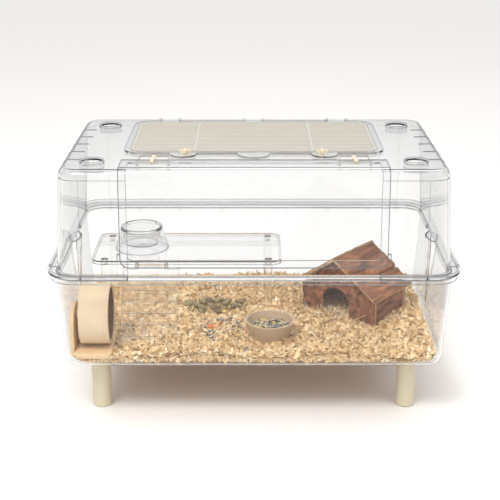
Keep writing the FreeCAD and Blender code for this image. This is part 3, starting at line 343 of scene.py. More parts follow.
def mouldedPlastic(name, base, other, roughLow, roughHigh, glow=0.0):
    material, nodes, links, shader, place = newMaterial(name)
    mottle = addGroup(nodes, mottleTree, Scale=30.0, Base=(*base, 1), Other=(*other, 1),
                      Rough_Low=roughLow, Rough_High=roughHigh)
    links.new(place, mottle.inputs["Vector"])
    links.new(mottle.outputs["Color"], shader.inputs["Base Color"])
    links.new(mottle.outputs["Roughness"], shader.inputs["Roughness"])
    addBump(nodes, links, shader, mottle.outputs["Height"], 0.12, 0.0003)
    shader.inputs["Subsurface Weight"].default_value = glow
    shader.inputs["Subsurface Radius"].default_value = (0.01, 0.007, 0.004)
    return material


def plainWood(name, light, dark, scale, contrast, roughness=0.6, turn=(0, 0, 0), bumpStrength=0.25):
    material, nodes, links, shader, place = newMaterial(name)
    mapping = nodes.new("ShaderNodeMapping")
    mapping.inputs["Rotation"].default_value = [math.radians(angle) for angle in turn]
    links.new(place, mapping.inputs["Vector"])
    grain = addGroup(nodes, grainTree, Scale=scale, Light=(*light, 1), Dark=(*dark, 1), Contrast=contrast)
    links.new(mapping.outputs[0], grain.inputs["Vector"])
    links.new(grain.outputs["Color"], shader.inputs["Base Color"])
    shader.inputs["Roughness"].default_value = roughness
    addBump(nodes, links, shader, grain.outputs["Height"], bumpStrength, 0.0006)
    return material


# Bark outside and pale sawn wood where the slab was cut, told apart by the bark attribute.
def barkMaterial():
    material, nodes, links, shader, place = newMaterial("barkSlab")
    mapping = nodes.new("ShaderNodeMapping")
    mapping.inputs["Rotation"].default_value = (0, 0, math.radians(-hut["turn"] - 90))
    links.new(place, mapping.inputs["Vector"])
    bark = addGroup(nodes, grainTree, Scale=120.0, Stretch=0.13, Light=(0.46, 0.20, 0.095, 1),
                    Dark=(0.06, 0.022, 0.012, 1), Contrast=1.0)
    links.new(mapping.outputs[0], bark.inputs["Vector"])
    patches = addGroup(nodes, mottleTree, Scale=22.0, Base=(0.75, 0.68, 0.62, 1), Other=(1.3, 1.2, 1.1, 1))
    links.new(place, patches.inputs["Vector"])
    shade = mixColours(nodes, links, bark.outputs["Color"], patches.outputs["Color"], 0.8, "MULTIPLY")
    sawn = addGroup(nodes, grainTree, Scale=120.0, Light=(0.70, 0.47, 0.26, 1), Dark=(0.45, 0.26, 0.12, 1),
                    Contrast=0.7)
    links.new(mapping.outputs[0], sawn.inputs["Vector"])
    colour = mixColours(nodes, links, sawn.outputs["Color"], shade, readAttribute(nodes, "bark"))
    links.new(colour, shader.inputs["Base Color"])
    shader.inputs["Roughness"].default_value = 0.82
    addBump(nodes, links, shader, bark.outputs["Height"], 1.0, 0.003)
    return material


def steelMaterial():
    material, nodes, links, shader, place = newMaterial("steel")
    mottle = addGroup(nodes, mottleTree, Scale=160.0, Base=(0.62, 0.62, 0.63, 1),
                      Other=(0.52, 0.52, 0.54, 1), Rough_Low=0.22, Rough_High=0.4)
    links.new(place, mottle.inputs["Vector"])
    links.new(mottle.outputs["Color"], shader.inputs["Base Color"])
    links.new(mottle.outputs["Roughness"], shader.inputs["Roughness"])
    shader.inputs["Metallic"].default_value = 1.0
    return material


# Each flake has its own tone, and a faint grain. The darkest tone also colours the slab beneath the flakes,
# as painted shade in the gaps between them.
def shavingMaterial():
    material, nodes, links, shader, place = newMaterial("shavings")
    tone = readAttribute(nodes, "tone")
    ramp = nodes.new("ShaderNodeValToRGB")
    stops = ramp.color_ramp
    # The darkest stop is both a flake's own tone and the painted shade of the slab seen in the gaps between
    # flakes.
    stops.elements[0].color = (0.44, 0.24, 0.085, 1)
    stops.elements[1].color = (1.0, 0.95, 0.76, 1)
    middle = stops.elements.new(0.35)
    middle.color = (0.92, 0.68, 0.37, 1)
    late = stops.elements.new(0.7)
    late.color = (1.0, 0.84, 0.55, 1)
    links.new(tone, ramp.inputs["Fac"])
    grain = addGroup(nodes, grainTree, Scale=420.0, Stretch=0.3, Light=(1, 1, 1, 1),
                     Dark=(0.72, 0.62, 0.5, 1), Contrast=0.6)
    links.new(place, grain.inputs["Vector"])
    colour = mixColours(nodes, links, ramp.outputs["Color"], grain.outputs["Color"], 0.7, "MULTIPLY")
    links.new(colour, shader.inputs["Base Color"])
    shader.inputs["Roughness"].default_value = 0.75
    addBump(nodes, links, shader, grain.outputs["Height"], 0.3, 0.0004)
    return material


def seedMaterial(name, dark, light, stripes, roughness=0.45):
    material, nodes, links, shader, place = newMaterial(name)
    tone = readAttribute(nodes, "tone")
    plain = mixColours(nodes, links, (*dark, 1), (*light, 1), tone)
    mottle = addGroup(nodes, mottleTree, Scale=stripes,
                      Base=(0.55, 0.55, 0.55, 1), Other=(1.45, 1.45, 1.45, 1),
                      Rough_Low=roughness - 0.1, Rough_High=roughness + 0.1)
    links.new(place, mottle.inputs["Vector"])
    shade = mixColours(nodes, links, plain, mottle.outputs["Color"], 0.8, "MULTIPLY")
    links.new(shade, shader.inputs["Base Color"])
    links.new(mottle.outputs["Roughness"], shader.inputs["Roughness"])
    return material


# Black seeds with pale stripes.
def stripedSeedMaterial():
    material, nodes, links, shader, place = newMaterial("sunflowerSeeds")
    stripe = nodes.new("ShaderNodeTexNoise")
    stripe.inputs["Scale"].default_value = 430
    links.new(place, stripe.inputs["Vector"])
    cut = nodes.new("ShaderNodeMapRange")
    cut.inputs["From Min"].default_value = 0.5
    cut.inputs["From Max"].default_value = 0.56
    links.new(stripe.outputs["Fac"], cut.inputs["Value"])
    colour = mixColours(nodes, links, (0.018, 0.017, 0.016, 1), (0.66, 0.60, 0.48, 1), cut.outputs["Result"])
    links.new(colour, shader.inputs["Base Color"])
    shader.inputs["Roughness"].default_value = 0.45
    return material


# mesh helpers

def meshObject(name, mesh):
    piece = bpy.data.objects.new(name, mesh)
    bpy.context.scene.collection.objects.link(piece)
    return piece


def meshFrom(work, name):
    mesh = bpy.data.meshes.new(name)
    work.to_mesh(mesh)
    work.free()
    return mesh


# Four corners of a thin strip's section.
def stripRing(work, centre, across, up):
    return [work.verts.new(centre + across * a + up * b) for a, b in ((-1, -1), (1, -1), (1, 1), (-1, 1))]


# Joins rings into a closed skin, and says how many faces it has.
def skinRings(work, rings):
    sides = len(rings[0])
    for low, high in zip(rings, rings[1:]):
        for index in range(sides):
            after = (index + 1) % sides
            work.faces.new((low[index], low[after], high[after], high[index]))
    work.faces.new(list(reversed(rings[0])))
    work.faces.new(rings[-1])
    return sides * (len(rings) - 1) + 2


# Turns what the modifiers make into the piece's own plain mesh.
def finishMesh(piece):
    graph = bpy.context.evaluated_depsgraph_get()
    baked = bpy.data.meshes.new_from_object(piece.evaluated_get(graph))
    piece.modifiers.clear()
    piece.data = baked
    return piece


# A merged copy of a CAD node, to work on.
def copyNode(name, newName, merge=1e-5):
    source = cadNodes[name].data
    work = bmesh.new()
    work.from_mesh(source)
    bmesh.ops.remove_doubles(work, verts=work.verts, dist=merge)
    bmesh.ops.dissolve_limit(work, angle_limit=math.radians(0.5), verts=work.verts, edges=work.edges)
    return meshObject(newName, meshFrom(work, newName))


def addRemesh(piece, voxel):
    remesh = piece.modifiers.new("even", "REMESH")
    remesh.mode = "VOXEL"
    remesh.voxel_size = voxel


def setMaterial(piece, material):
    piece.data.materials.clear()
    piece.data.materials.append(material)


def smoothByAngle(piece, angle=35):
    work = bmesh.new()
    work.from_mesh(piece.data)
    for face in work.faces:
        face.smooth = True
    for edge in work.edges:
        if len(edge.link_faces) == 2:
            edge.smooth = edge.calc_face_angle(0) < math.radians(angle)
    work.to_mesh(piece.data)
    work.free()


# A CAD piece again, with its sharp edges rounded over.
def softened(node, newName, width, material, body, segments=3):
    piece = copyNode(node, newName)
    bevel = piece.modifiers.new("round", "BEVEL")
    bevel.width = width
    bevel.segments = segments
    bevel.limit_method = "ANGLE"
    bevel.angle_limit = math.radians(40)
    bevel.harden_normals = False
    finishMesh(piece)
    smoothByAngle(piece)
    setMaterial(piece, material)
    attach(piece, body)
    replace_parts(piece, node)
    return piece


# A tone for each face, or one for the whole shape, which Geometry Nodes hands on to every copy.
def giveTone(mesh, tone):
    tones = tone if isinstance(tone, list) else [tone] * len(mesh.polygons)
    mesh.attributes.new("tone", "FLOAT", "FACE").data.foreach_set("value", tones)


# geometry node trees

def geometryTree(name, inputs):
    tree = bpy.data.node_groups.new(name, "GeometryNodeTree")
    tree.interface.new_socket("Geometry", in_out="INPUT", socket_type="NodeSocketGeometry")
    sockets = {}
    for socketName, socketType, value in inputs:
        socket = tree.interface.new_socket(socketName, in_out="INPUT", socket_type=socketType)
        if value is not None:
            socket.default_value = value
        sockets[socketName] = socket.identifier
    tree.interface.new_socket("Geometry", in_out="OUTPUT", socket_type="NodeSocketGeometry")
    return tree, tree.nodes.new("NodeGroupInput"), tree.nodes.new("NodeGroupOutput"), sockets


# The last nodes of every tree: real geometry, with its material.
def endTree(tree, geometry, given, out):
    nodes, links = tree.nodes, tree.links
    real = nodes.new("GeometryNodeRealizeInstances")
    finish = nodes.new("GeometryNodeSetMaterial")
    links.new(geometry, real.inputs["Geometry"])
    links.new(real.outputs["Geometry"], finish.inputs["Geometry"])
    links.new(given.outputs["Finish"], finish.inputs["Material"])
    links.new(finish.outputs["Geometry"], out.inputs["Geometry"])


def applyTree(piece, tree, sockets, **values):
    modifier = piece.modifiers.new(tree.name, "NODES")
    modifier.node_group = tree
    for name, value in values.items():
        modifier[sockets[name]] = value
    return finishMesh(piece)


# Scatters the shapes of a collection over a surface, each turned and sized at random.
def buildScatterTree():
    tree, given, out, sockets = geometryTree("scatterShapes", [
        ("Shapes", "NodeSocketCollection", None), ("Density", "NodeSocketFloat", 1000.0),
        ("Smallest", "NodeSocketFloat", 0.7), ("Largest", "NodeSocketFloat", 1.2),
        ("Tilt", "NodeSocketFloat", 0.5), ("Lift", "NodeSocketFloat", 0.0),
        ("Seed", "NodeSocketInt", 1), ("Finish", "NodeSocketMaterial", None)])
    nodes, links = tree.nodes, tree.links
    points = nodes.new("GeometryNodeDistributePointsOnFaces")
    links.new(given.outputs["Geometry"], points.inputs["Mesh"])
    links.new(given.outputs["Density"], points.inputs["Density"])
    links.new(given.outputs["Seed"], points.inputs["Seed"])
    shapes = nodes.new("GeometryNodeCollectionInfo")
    shapes.inputs["Separate Children"].default_value = True
    shapes.inputs["Reset Children"].default_value = True
    links.new(given.outputs["Shapes"], shapes.inputs["Collection"])
    spin = nodes.new("FunctionNodeRandomValue")
    spin.data_type = "FLOAT_VECTOR"
    tiltLow = nodes.new("ShaderNodeCombineXYZ")
    tiltHigh = nodes.new("ShaderNodeCombineXYZ")
    minus = nodes.new("ShaderNodeMath")
    minus.operation = "MULTIPLY"
    minus.inputs[1].default_value = -1
    links.new(given.outputs["Tilt"], minus.inputs[0])
    for axis in ("X", "Y"):
        links.new(minus.outputs[0], tiltLow.inputs[axis])
        links.new(given.outputs["Tilt"], tiltHigh.inputs[axis])
    tiltHigh.inputs["Z"].default_value = math.tau
    links.new(tiltLow.outputs[0], spin.inputs["Min"])
    links.new(tiltHigh.outputs[0], spin.inputs["Max"])
    links.new(given.outputs["Seed"], spin.inputs["Seed"])
    turn = nodes.new("FunctionNodeEulerToRotation")
    links.new(spin.outputs["Value"], turn.inputs["Euler"])
    both = nodes.new("FunctionNodeRotateRotation")
    both.rotation_space = "LOCAL"
    links.new(points.outputs["Rotation"], both.inputs["Rotation"])
    links.new(turn.outputs["Rotation"], both.inputs["Rotate By"])
    size = nodes.new("FunctionNodeRandomValue")
    size.data_type = "FLOAT"
    for name, socket in (("Smallest", "Min"), ("Largest", "Max")):
        target = next(item for item in size.inputs if item.name == socket and item.type == "VALUE")
        links.new(given.outputs[name], target)
    links.new(given.outputs["Seed"], size.inputs["Seed"])
    sizeOut = next(item for item in size.outputs if item.type == "VALUE")
    raised = nodes.new("GeometryNodeSetPosition")
    along = nodes.new("ShaderNodeVectorMath")
    along.operation = "SCALE"
    links.new(points.outputs["Normal"], along.inputs[0])
    links.new(given.outputs["Lift"], along.inputs["Scale"])
    links.new(points.outputs["Points"], raised.inputs["Geometry"])
    links.new(along.outputs[0], raised.inputs["Offset"])
    place = nodes.new("GeometryNodeInstanceOnPoints")
    place.inputs["Pick Instance"].default_value = True
    links.new(raised.outputs["Geometry"], place.inputs["Points"])
    links.new(shapes.outputs["Instances"], place.inputs["Instance"])
    links.new(both.outputs["Rotation"], place.inputs["Rotation"])
    links.new(sizeOut, place.inputs["Scale"])
    endTree(tree, place.outputs["Instances"], given, out)
    return tree, sockets


# A piece made of scattered shapes; the surface itself is left out.
def scatter(name, surface, shapes, finish, body, slotName, **values):
    piece = meshObject(name, surface.data.copy())
    tree, sockets = scatterTree
    applyTree(piece, tree, sockets, Shapes=shapes, Finish=finish, **values)
    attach(piece, body)
    return piece


def shapeCollection(name, meshes):
    holder = bpy.data.collections.new(name)
    for index, mesh in enumerate(meshes):
        holder.objects.link(bpy.data.objects.new(f"{name}{index}", mesh))
    return holder


def dropCollection(holder):
    for item in list(holder.objects):
        bpy.data.objects.remove(item)
    bpy.data.collections.remove(holder)


# wood shavings

bedding = {
    "heap": 0.007,          # how far the surface rises and falls
    "rise": 0.004,          # mean height over the CAD slab
    "flakeLength": 0.0155,
    "flakeWidth": 0.0052,
    "flakeThickness": 0.0005,
    "flakeKinds": 18,
    "topDensity": 27000,
    "sideDensity": 80000.0,
    "sideInset": 0.0022,
    "batches": 4,
    "firstLift": 0.0002,    # the lowest batch over the surface, and each next one over it
    "batchLift": 0.0011,
    "voxel": 0.005,
    "topBand": 0.003,       # what is this near the slab's top follows the heap
    "restGap": 0.001,       # how far under the slab's top it lies beneath what stands on it
    "corner": 0.02,         # the floor's corner radius, and how far in from the wall flakes are pressed
    "pressed": 0.003,
    "wallClear": 0.0012,    # nearest that a flake comes to the tub wall
}


# One curled shaving: a thin closed strip bent along an arc.
def flakeMesh(name, length, width, thickness, curl, twist, tone, steps=4):
    work = bmesh.new()
    rings = []
    for step in range(steps + 1):
        share = step / steps - 0.5
        angle = share * curl
        radius = length / max(abs(curl), 0.01)
        centre = Vector((math.sin(angle) * radius, 0, (1 - math.cos(angle)) * radius))
        along = Vector((math.cos(angle), 0, math.sin(angle)))
        normal = Vector((-math.sin(angle), 0, math.cos(angle)))
        side = Matrix.Rotation(share * twist, 3, along) @ Vector((0, 1, 0))
        normal = Matrix.Rotation(share * twist, 3, along) @ normal
        half = width / 2 * (0.55 if step in (0, steps) else 1)
        rings.append(stripRing(work, centre, side * half, normal * thickness / 2))
    skinRings(work, rings)
    bmesh.ops.recalc_face_normals(work, faces=work.faces)
    mesh = meshFrom(work, name)
    giveTone(mesh, tone)
    return mesh


# Level of the shavings' surface over the floor plan.
def beddingHeight(x, y):
    place = Vector((x * 9, y * 9, 0.3))
    level = bedTop + bedding["rise"] + bedding["heap"] * noise.noise(place)
    level += bedding["heap"] * 0.5 * noise.noise(place * 3.1)
    for low, high, margin in beddingRests:
        dx = max(low[0] - x, 0, x - high[0])
        dy = max(low[1] - y, 0, y - high[1])
        away = math.hypot(dx, dy)
        if away < margin:
            gap = bedding["restGap"]
            level = bedTop - gap + (level - bedTop + gap) * away / margin
    return level


beddingRests = [(*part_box(node), margin) for node, margin in
                (("food_bowl", 0.014), ("wheel_foot", 0.012), ("pellet_pile", 0.008))]


# Squeezes whatever comes near the tub's wall back inside it, keeping its order.
def pressInside(piece, low, high):
    corner, margin = bedding["corner"], bedding["pressed"]
    middleX, middleY = (low[0] + high[0]) / 2, (low[1] + high[1]) / 2
    halfX = (high[0] - low[0]) / 2 - bedding["wallClear"]
    halfY = (high[1] - low[1]) / 2 - bedding["wallClear"]
    for vertex in piece.data.vertices:
        x, y = vertex.co.x - middleX, vertex.co.y - middleY
        overX, overY = abs(x) - (halfX - corner), abs(y) - (halfY - corner)
        if overX > 0 and overY > 0:
            distance = math.hypot(overX, overY) - corner
            push = Vector((math.copysign(overX, x), math.copysign(overY, y))).normalized()
        else:
            distance = max(overX, overY) - corner
            push = Vector((math.copysign(1, x), 0)) if overX > overY else Vector((0, math.copysign(1, y)))
        if distance > -margin:
            kept = -margin * math.exp(-(distance + margin) / margin)
            vertex.co.x += push.x * (kept - distance)
            vertex.co.y += push.y * (kept - distance)


def buildBedding():
    slab = copyNode("bedding", "shavingsBed")
    addRemesh(slab, bedding["voxel"])
    finishMesh(slab)
    top = bedTop - bedding["topBand"]
    for vertex in slab.data.vertices:
        x, y, z = vertex.co
        vertex.co.x -= math.copysign(min(bedding["sideInset"], abs(x)), x)
        vertex.co.y -= math.copysign(min(bedding["sideInset"], abs(y)), y)
        if z > top:
            vertex.co.z = beddingHeight(x, y)
    # Painted shade: the slab under the flakes takes the darkest tone, so the gaps between flakes look
    # shaded.
    giveTone(slab.data, 0.0)
    setMaterial(slab, shavings)
    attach(slab, "tub")
    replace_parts(slab, "bedding")

    flakes = []
    dice = random.Random(11)
    for index in range(bedding["flakeKinds"]):
        flakes.append(flakeMesh(f"flake{index}", bedding["flakeLength"] * dice.uniform(0.55, 1.35),
                                bedding["flakeWidth"] * dice.uniform(0.45, 1.25),
                                bedding["flakeThickness"] * dice.uniform(0.8, 1.3),
                                dice.uniform(0.2, 2.4), dice.uniform(-1.2, 1.2), dice.random()))
    shapes = shapeCollection("flakes", flakes)

    upper = bpy.data.meshes.new("bedUpper")
    lower = bpy.data.meshes.new("bedSides")
    for mesh, wantUp in ((upper, True), (lower, False)):
        work = bmesh.new()
        work.from_mesh(slab.data)
        gone = [face for face in work.faces
                if face.normal.z < -0.5 or (face.normal.z > 0.6) != wantUp]
        bmesh.ops.delete(work, geom=gone, context="FACES")
        work.to_mesh(mesh)
        work.free()
    upperSurface = bpy.data.objects.new("bedUpper", upper)
    sideSurface = bpy.data.objects.new("bedSides", lower)
    low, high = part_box("bedding")
    for batch in range(bedding["batches"]):
        layer = scatter(f"shavingsTop{batch + 1}", upperSurface, shapes, shavings, "tub", "shavings",
                        Density=bedding["topDensity"] * 1.0, Seed=3 + batch,
                        Tilt=0.5, Lift=bedding["firstLift"] + bedding["batchLift"] * batch,
                        Smallest=0.5, Largest=1.15)
        pressInside(layer, low, high)
    side = scatter("shavingsSide", sideSurface, shapes, shavings, "tub", "shavings",
                   Density=bedding["sideDensity"], Seed=29, Tilt=0.2, Lift=0.0, Smallest=0.45, Largest=0.85)
    pressInside(side, low, high)
    for surface in (upperSurface, sideSurface):
        bpy.data.objects.remove(surface)
    dropCollection(shapes)
    print("shavings ready")


# hut of bark slabs

hut = {
    "corner": (0.076, 0.031, 0.0953),
    "turn": -37.8,
    "voxel": 0.0019,
    "ridge": 0.0034,         # how deep the bark is cut by its cracks
    "waver": 0.0030,         # how far sawn edges wander
}
slopeRun, slopeRise = 0.0683, 0.047

# outward side and the way the grain runs, in the hut's own directions
hutSlabs = {
    "hut_front": ((0, -1, 0), (1, 0, -0.12)),
    "hut_back": ((0, 1, 0), (1, 0, 0.1)),
    "hut_left_wall": ((-1, 0, 0), (0, 1, 0.15)),
    "hut_right_wall": ((1, 0, 0), (0, 1, 0.45)),
    "hut_roof_left": ((-slopeRise, 0, slopeRun), (0.35, 1, 0.24)),
    "hut_roof_upper": ((slopeRise, 0, slopeRun), (0.5, -1, -0.34)),
    "hut_roof_lower": ((slopeRise, 0, slopeRun), (0.3, -1, -0.2)),
}


# Height of the bark, from 0 in a crack to 1 on a ridge.
def barkHeight(place, grain, across, seed):
    along = place.dot(grain)
    off = place.dot(across)
    wander = 0.003 * noise.noise(Vector((along * 45, off * 30, seed)))
    total, share = 0.0, 0.0
    for frequency, weight in ((75, 1.0), (150, 0.6), (300, 0.3)):
        spot = (along * frequency * 0.16, (off + wander) * frequency, seed + frequency)
        value = noise.noise(Vector(spot))
        total += weight * (1 - abs(value) * 2.2)
        share += weight
    plates = noise.noise(Vector((along * 60, off * 60, seed + 9)))
    return max(0.0, min(1.0, total / share * 0.75 + 0.25 * plates + 0.1))


def buildHut():
    turn = Matrix.Rotation(math.radians(hut["turn"]), 3, "Z")
    for index, (node, (outward, grain)) in enumerate(hutSlabs.items()):
        slab = copyNode(node, "bark" + node[3:].title().replace("_", ""))
        addRemesh(slab, hut["voxel"] * (1))
        relax = slab.modifiers.new("relax", "SMOOTH")
        relax.iterations = 2
        relax.factor = 0.4
        finishMesh(slab)
        out = (turn @ Vector(outward)).normalized()
        run = (turn @ Vector(grain))
        run = (run - out * run.dot(out)).normalized()
        side = out.cross(run)
        mesh = slab.data
        normals = [vertex.normal.copy() for vertex in mesh.vertices]
        barkValues = []
        for vertex, normal in zip(mesh.vertices, normals):
            place = vertex.co.copy()
            facing = normal.dot(out)
            bark = max(0.0, min(1.0, (facing - 0.35) * 4))
            height = barkHeight(place, run, side, index * 7.3)
            edge = noise.noise(place * 60 + Vector((index * 3, 0, 0)))
            vertex.co += -normal * 0.0004 - out * bark * hut["ridge"] * (1 - height)
            if abs(facing) < 0.5 and normal.z > -0.4:
                vertex.co += normal * hut["waver"] * (edge - 0.5)
            barkValues.append(bark)
        layer = mesh.attributes.new("bark", "FLOAT", "POINT")
        layer.data.foreach_set("value", barkValues)
        mesh.shade_smooth()
        setMaterial(slab, finishes["bark"])
        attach(slab, "hut")
        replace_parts(slab, node)
    print("hut ready")


# hay at the hut's doorway and loose wisps in front of it
hay = {
    "strands": 70, "width": 0.0012, "shortest": 0.018, "longest": 0.042,
    "middle": 0.063, "spread": 0.017,           # along the front, from the hut's corner
    "front": -0.022, "back": 0.012,
    "loose": 0.004,                             # highest foot above the hut's floor
}


def buildHay():
    dice = random.Random(5)
    turn = Matrix.Rotation(math.radians(hut["turn"]), 3, "Z")
    corner = Vector(hut["corner"])
    work = bmesh.new()
    tones = []
    for _ in range(hay["strands"]):
        foot = corner + turn @ Vector((hay["middle"] + dice.gauss(0, hay["spread"]),
                                       dice.uniform(hay["front"], hay["back"]), 0))
        foot.z = corner.z + dice.uniform(0.0, hay["loose"])
        length = dice.uniform(hay["shortest"], hay["longest"])
        heading = turn @ Vector((dice.uniform(-1, 1), dice.uniform(-0.5, 0.5), dice.uniform(0.05, 0.75)))
        heading.normalize()
        bend = Vector((dice.uniform(-1, 1), dice.uniform(-1, 1), -0.9)) * dice.uniform(0.2, 0.6)
        width = hay["width"] * dice.uniform(0.6, 1.4)
        rings = []
        for step in range(5):
            share = step / 4
            centre = foot + heading * length * share + bend * length * share * share * 0.5
            along = (heading + bend * share).normalized()
            across = along.cross(Vector((0.3, 0.2, 1))).normalized()
            up = across.cross(along)
            half = width / 2 * (1 - 0.6 * share)
            rings.append(stripRing(work, centre, across * half, up * half * 0.3))
        tone = dice.uniform(0.35, 1.0)
        tones += [tone] * skinRings(work, rings)
    bmesh.ops.recalc_face_normals(work, faces=work.faces)
    mesh = meshFrom(work, "hay")
    giveTone(mesh, tones)
    piece = meshObject("hayWisps", mesh)
    setMaterial(piece, finishes["shavings"])
    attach(piece, "tub")


# seeds, pellets and ribs

feed = {
    "seedLength": 0.0115, "seedWidth": 0.0062,
    "pelletLength": 0.0145, "pelletWidth": 0.0095,
    "cornLength": 0.0105,
    "bowlSeeds": 130, "bowlReach": 0.0285, "bowlLevel": 0.1125,
    "pilePellets": 62, "pileMiddle": (-0.060, 0.024), "pileHalf": (0.049, 0.028), "pileRise": 0.014,
    "spilled": ((-0.075, -0.034), (-0.060, -0.091), (-0.044, -0.046), (-0.022, -0.046), (-0.037, -0.040),
                (-0.051, -0.113), (-0.012, -0.144), (-0.079, -0.067), (-0.032, -0.067), (-0.049, -0.032),
                (-0.071, -0.091), (-0.024, -0.060)),
    "treat": (-0.065, -0.067),
    "scatter": 0.006,                                   # spread of the seeds round each place
    "pelletLift": 0.004, "seedLift": 0.0052, "treatLift": 0.006,
}


# A closed drop or barrel shape along X: share of the width at each step of its length.
def lathedMesh(name, length, width, thickness, profile, sides, tone):
    work = bmesh.new()
    rings = []
    count = len(profile)
    for step, share in enumerate(profile):
        x = (step / (count - 1) - 0.5) * length
        turns = [math.tau * index / sides for index in range(sides)]
        rings.append([work.verts.new((x, math.cos(turn) * width / 2 * share,
                                      math.sin(turn) * thickness / 2 * share)) for turn in turns])
    skinRings(work, rings)
    bmesh.ops.recalc_face_normals(work, faces=work.faces)
    mesh = meshFrom(work, name)
    mesh.shade_smooth()
    giveTone(mesh, tone)
    return mesh


def seedShapes():
    drop = (0.12, 0.62, 0.95, 1.0, 0.86, 0.55, 0.1)
    return [lathedMesh(f"sunflower{index}", feed["seedLength"] * size, feed["seedWidth"] * size,
                       feed["seedWidth"] * 0.55 * size, drop, 8, tone)
            for index, (size, tone) in enumerate(((1.0, 0.1), (0.9, 0.45), (1.08, 0.7), (0.85, 0.25)))]


def pelletShapes():
    barrel = (0.35, 0.8, 1.0, 1.0, 0.85, 0.4)
    return [lathedMesh(f"pellet{index}", feed["pelletLength"] * size, feed["pelletWidth"],
                       feed["pelletWidth"] * 0.85, barrel, 10, 0.1)
            for index, size in enumerate((1.0, 0.75, 1.2))]


def cornShapes():
    drop = (0.3, 0.8, 1.0, 0.95, 0.6, 0.2)
    return [lathedMesh(f"corn{index}", feed["cornLength"] * size, feed["cornLength"] * 0.8,
                       feed["cornLength"] * 0.55, drop, 10, 0.8)
            for index, size in enumerate((1.0, 0.85))]


# One mesh from copies of shapes, each with its own place, turn, size and tone.
def placedPiece(name, placements, finish, body):
    work = bmesh.new()
    tones = []
    for mesh, place, turn, size, tone in placements:
        move = Matrix.Translation(place) @ Euler(turn).to_matrix().to_4x4() @ Matrix.Scale(size, 4)
        made = [work.verts.new(move @ vertex.co) for vertex in mesh.vertices]
        for face in mesh.polygons:
            work.faces.new([made[corner] for corner in face.vertices])
            tones.append(tone)
    mesh = meshFrom(work, name)
    giveTone(mesh, tones)
    mesh.shade_smooth()
    piece = meshObject(name, mesh)
    setMaterial(piece, finish)
    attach(piece, body)
    return piece


def buildFeed():
    dice = random.Random(8)
    seeds, pellets, corns = seedShapes(), pelletShapes(), cornShapes()
    low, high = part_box("food_bowl")
    middleX, middleY = (low[0] + high[0]) / 2, (low[1] + high[1]) / 2
    filling, nuts = [], []
    for count in range(feed["bowlSeeds"]):
        reach = feed["bowlReach"] * math.sqrt(dice.random())
        turn = dice.uniform(0, math.tau)
        place = (middleX + reach * math.cos(turn), middleY + reach * math.sin(turn),
                 feed["bowlLevel"] + dice.uniform(-0.002, 0.0045) * (1.1 - reach / feed["bowlReach"]))
        angle = (dice.uniform(-0.4, 0.4), dice.uniform(-0.45, 0.45), dice.uniform(0, math.tau))
        if count % 5 == 3:
            nuts.append((dice.choice(corns), place, angle, 0.75, dice.uniform(0.55, 0.9)))
        else:
            filling.append((dice.choice(seeds), place, angle, dice.uniform(0.85, 1.1), dice.uniform(0, 0.5)))
    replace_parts(placedPiece("bowlSeeds", filling, finishes["seeds"], "food_dish"), "bowl_seeds")
    placedPiece("bowlCorn", nuts, finishes["pellets"], "food_dish")

    heap = []
    for count in range(feed["pilePellets"]):
        across = dice.uniform(-1, 1)
        back = dice.uniform(-1, 1) * math.sqrt(1 - across * across)
        x = feed["pileMiddle"][0] + across * feed["pileHalf"][0]
        y = feed["pileMiddle"][1] + back * feed["pileHalf"][1]
        lift = feed["pileRise"] * max(0.0, 1 - across * across - back * back) * dice.uniform(0.3, 1)
        place = (x, y, beddingHeight(x, y) + feed["pelletLift"] + lift)
        angle = (dice.uniform(-0.5, 0.5), dice.uniform(-0.5, 0.5), dice.uniform(0, math.tau))
        if across > 0.15 and count % 3 == 0:
            heap.append((dice.choice(corns), place, angle, 1.0, dice.uniform(0.75, 1.0)))
        else:
            heap.append((dice.choice(pellets), place, angle, dice.uniform(0.8, 1.1),
                         dice.uniform(0.0, 0.28)))
    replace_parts(placedPiece("pelletHeap", heap, finishes["pellets"], "tub"), "pellet_pile")

    spilled = []
    for x, y in feed["spilled"]:
        for count in range(3):
            placeX, placeY = x + dice.gauss(0, feed["scatter"]), y + dice.gauss(0, feed["scatter"])
            place = (placeX, placeY, beddingHeight(placeX, placeY) + feed["seedLift"])
            spilled.append((dice.choice(seeds), place,
                            (dice.uniform(-0.4, 0.4), dice.uniform(-0.3, 0.3), dice.uniform(0, math.tau)),
                            dice.uniform(0.9, 1.2), dice.uniform(0, 0.45)))
    placedPiece("spilledSeeds", spilled, finishes["seeds"], "tub")
    x, y = feed["treat"]
    place = (x, y, beddingHeight(x, y) + feed["treatLift"])
    placedPiece("carrotTreat", [(corns[0], place, (0.2, 0.1, 0.4), 1.1, 0.5)], finishes["treat"], "tub")
    print("feed ready")


ribs = {"width": 0.0016, "depth": 0.003, "height": 0.0045, "gap": 0.0045,
        "drop": 0.0072, "inset": 0.0125,      # below and in from the rim's edge
        "places": (-0.240, -0.191, -0.124, -0.054, 0.054, 0.124, 0.191, 0.240)}


# Places one small rib at every point it is given.
def buildRibTree():
    tree, given, out, sockets = geometryTree("rimRibs", [
        ("Width", "NodeSocketFloat", 0.0016), ("Depth", "NodeSocketFloat", 0.003),
        ("Height", "NodeSocketFloat", 0.0045), ("Finish", "NodeSocketMaterial", None)])
    nodes, links = tree.nodes, tree.links
    size = nodes.new("ShaderNodeCombineXYZ")
    for name, axis in (("Width", "X"), ("Depth", "Y"), ("Height", "Z")):
        links.new(given.outputs[name], size.inputs[axis])
    rib = nodes.new("GeometryNodeMeshCube")
    links.new(size.outputs[0], rib.inputs["Size"])
    place = nodes.new("GeometryNodeInstanceOnPoints")
    links.new(given.outputs["Geometry"], place.inputs["Points"])
    links.new(rib.outputs["Mesh"], place.inputs["Instance"])
    endTree(tree, place.outputs["Instances"], given, out)
    return tree, sockets


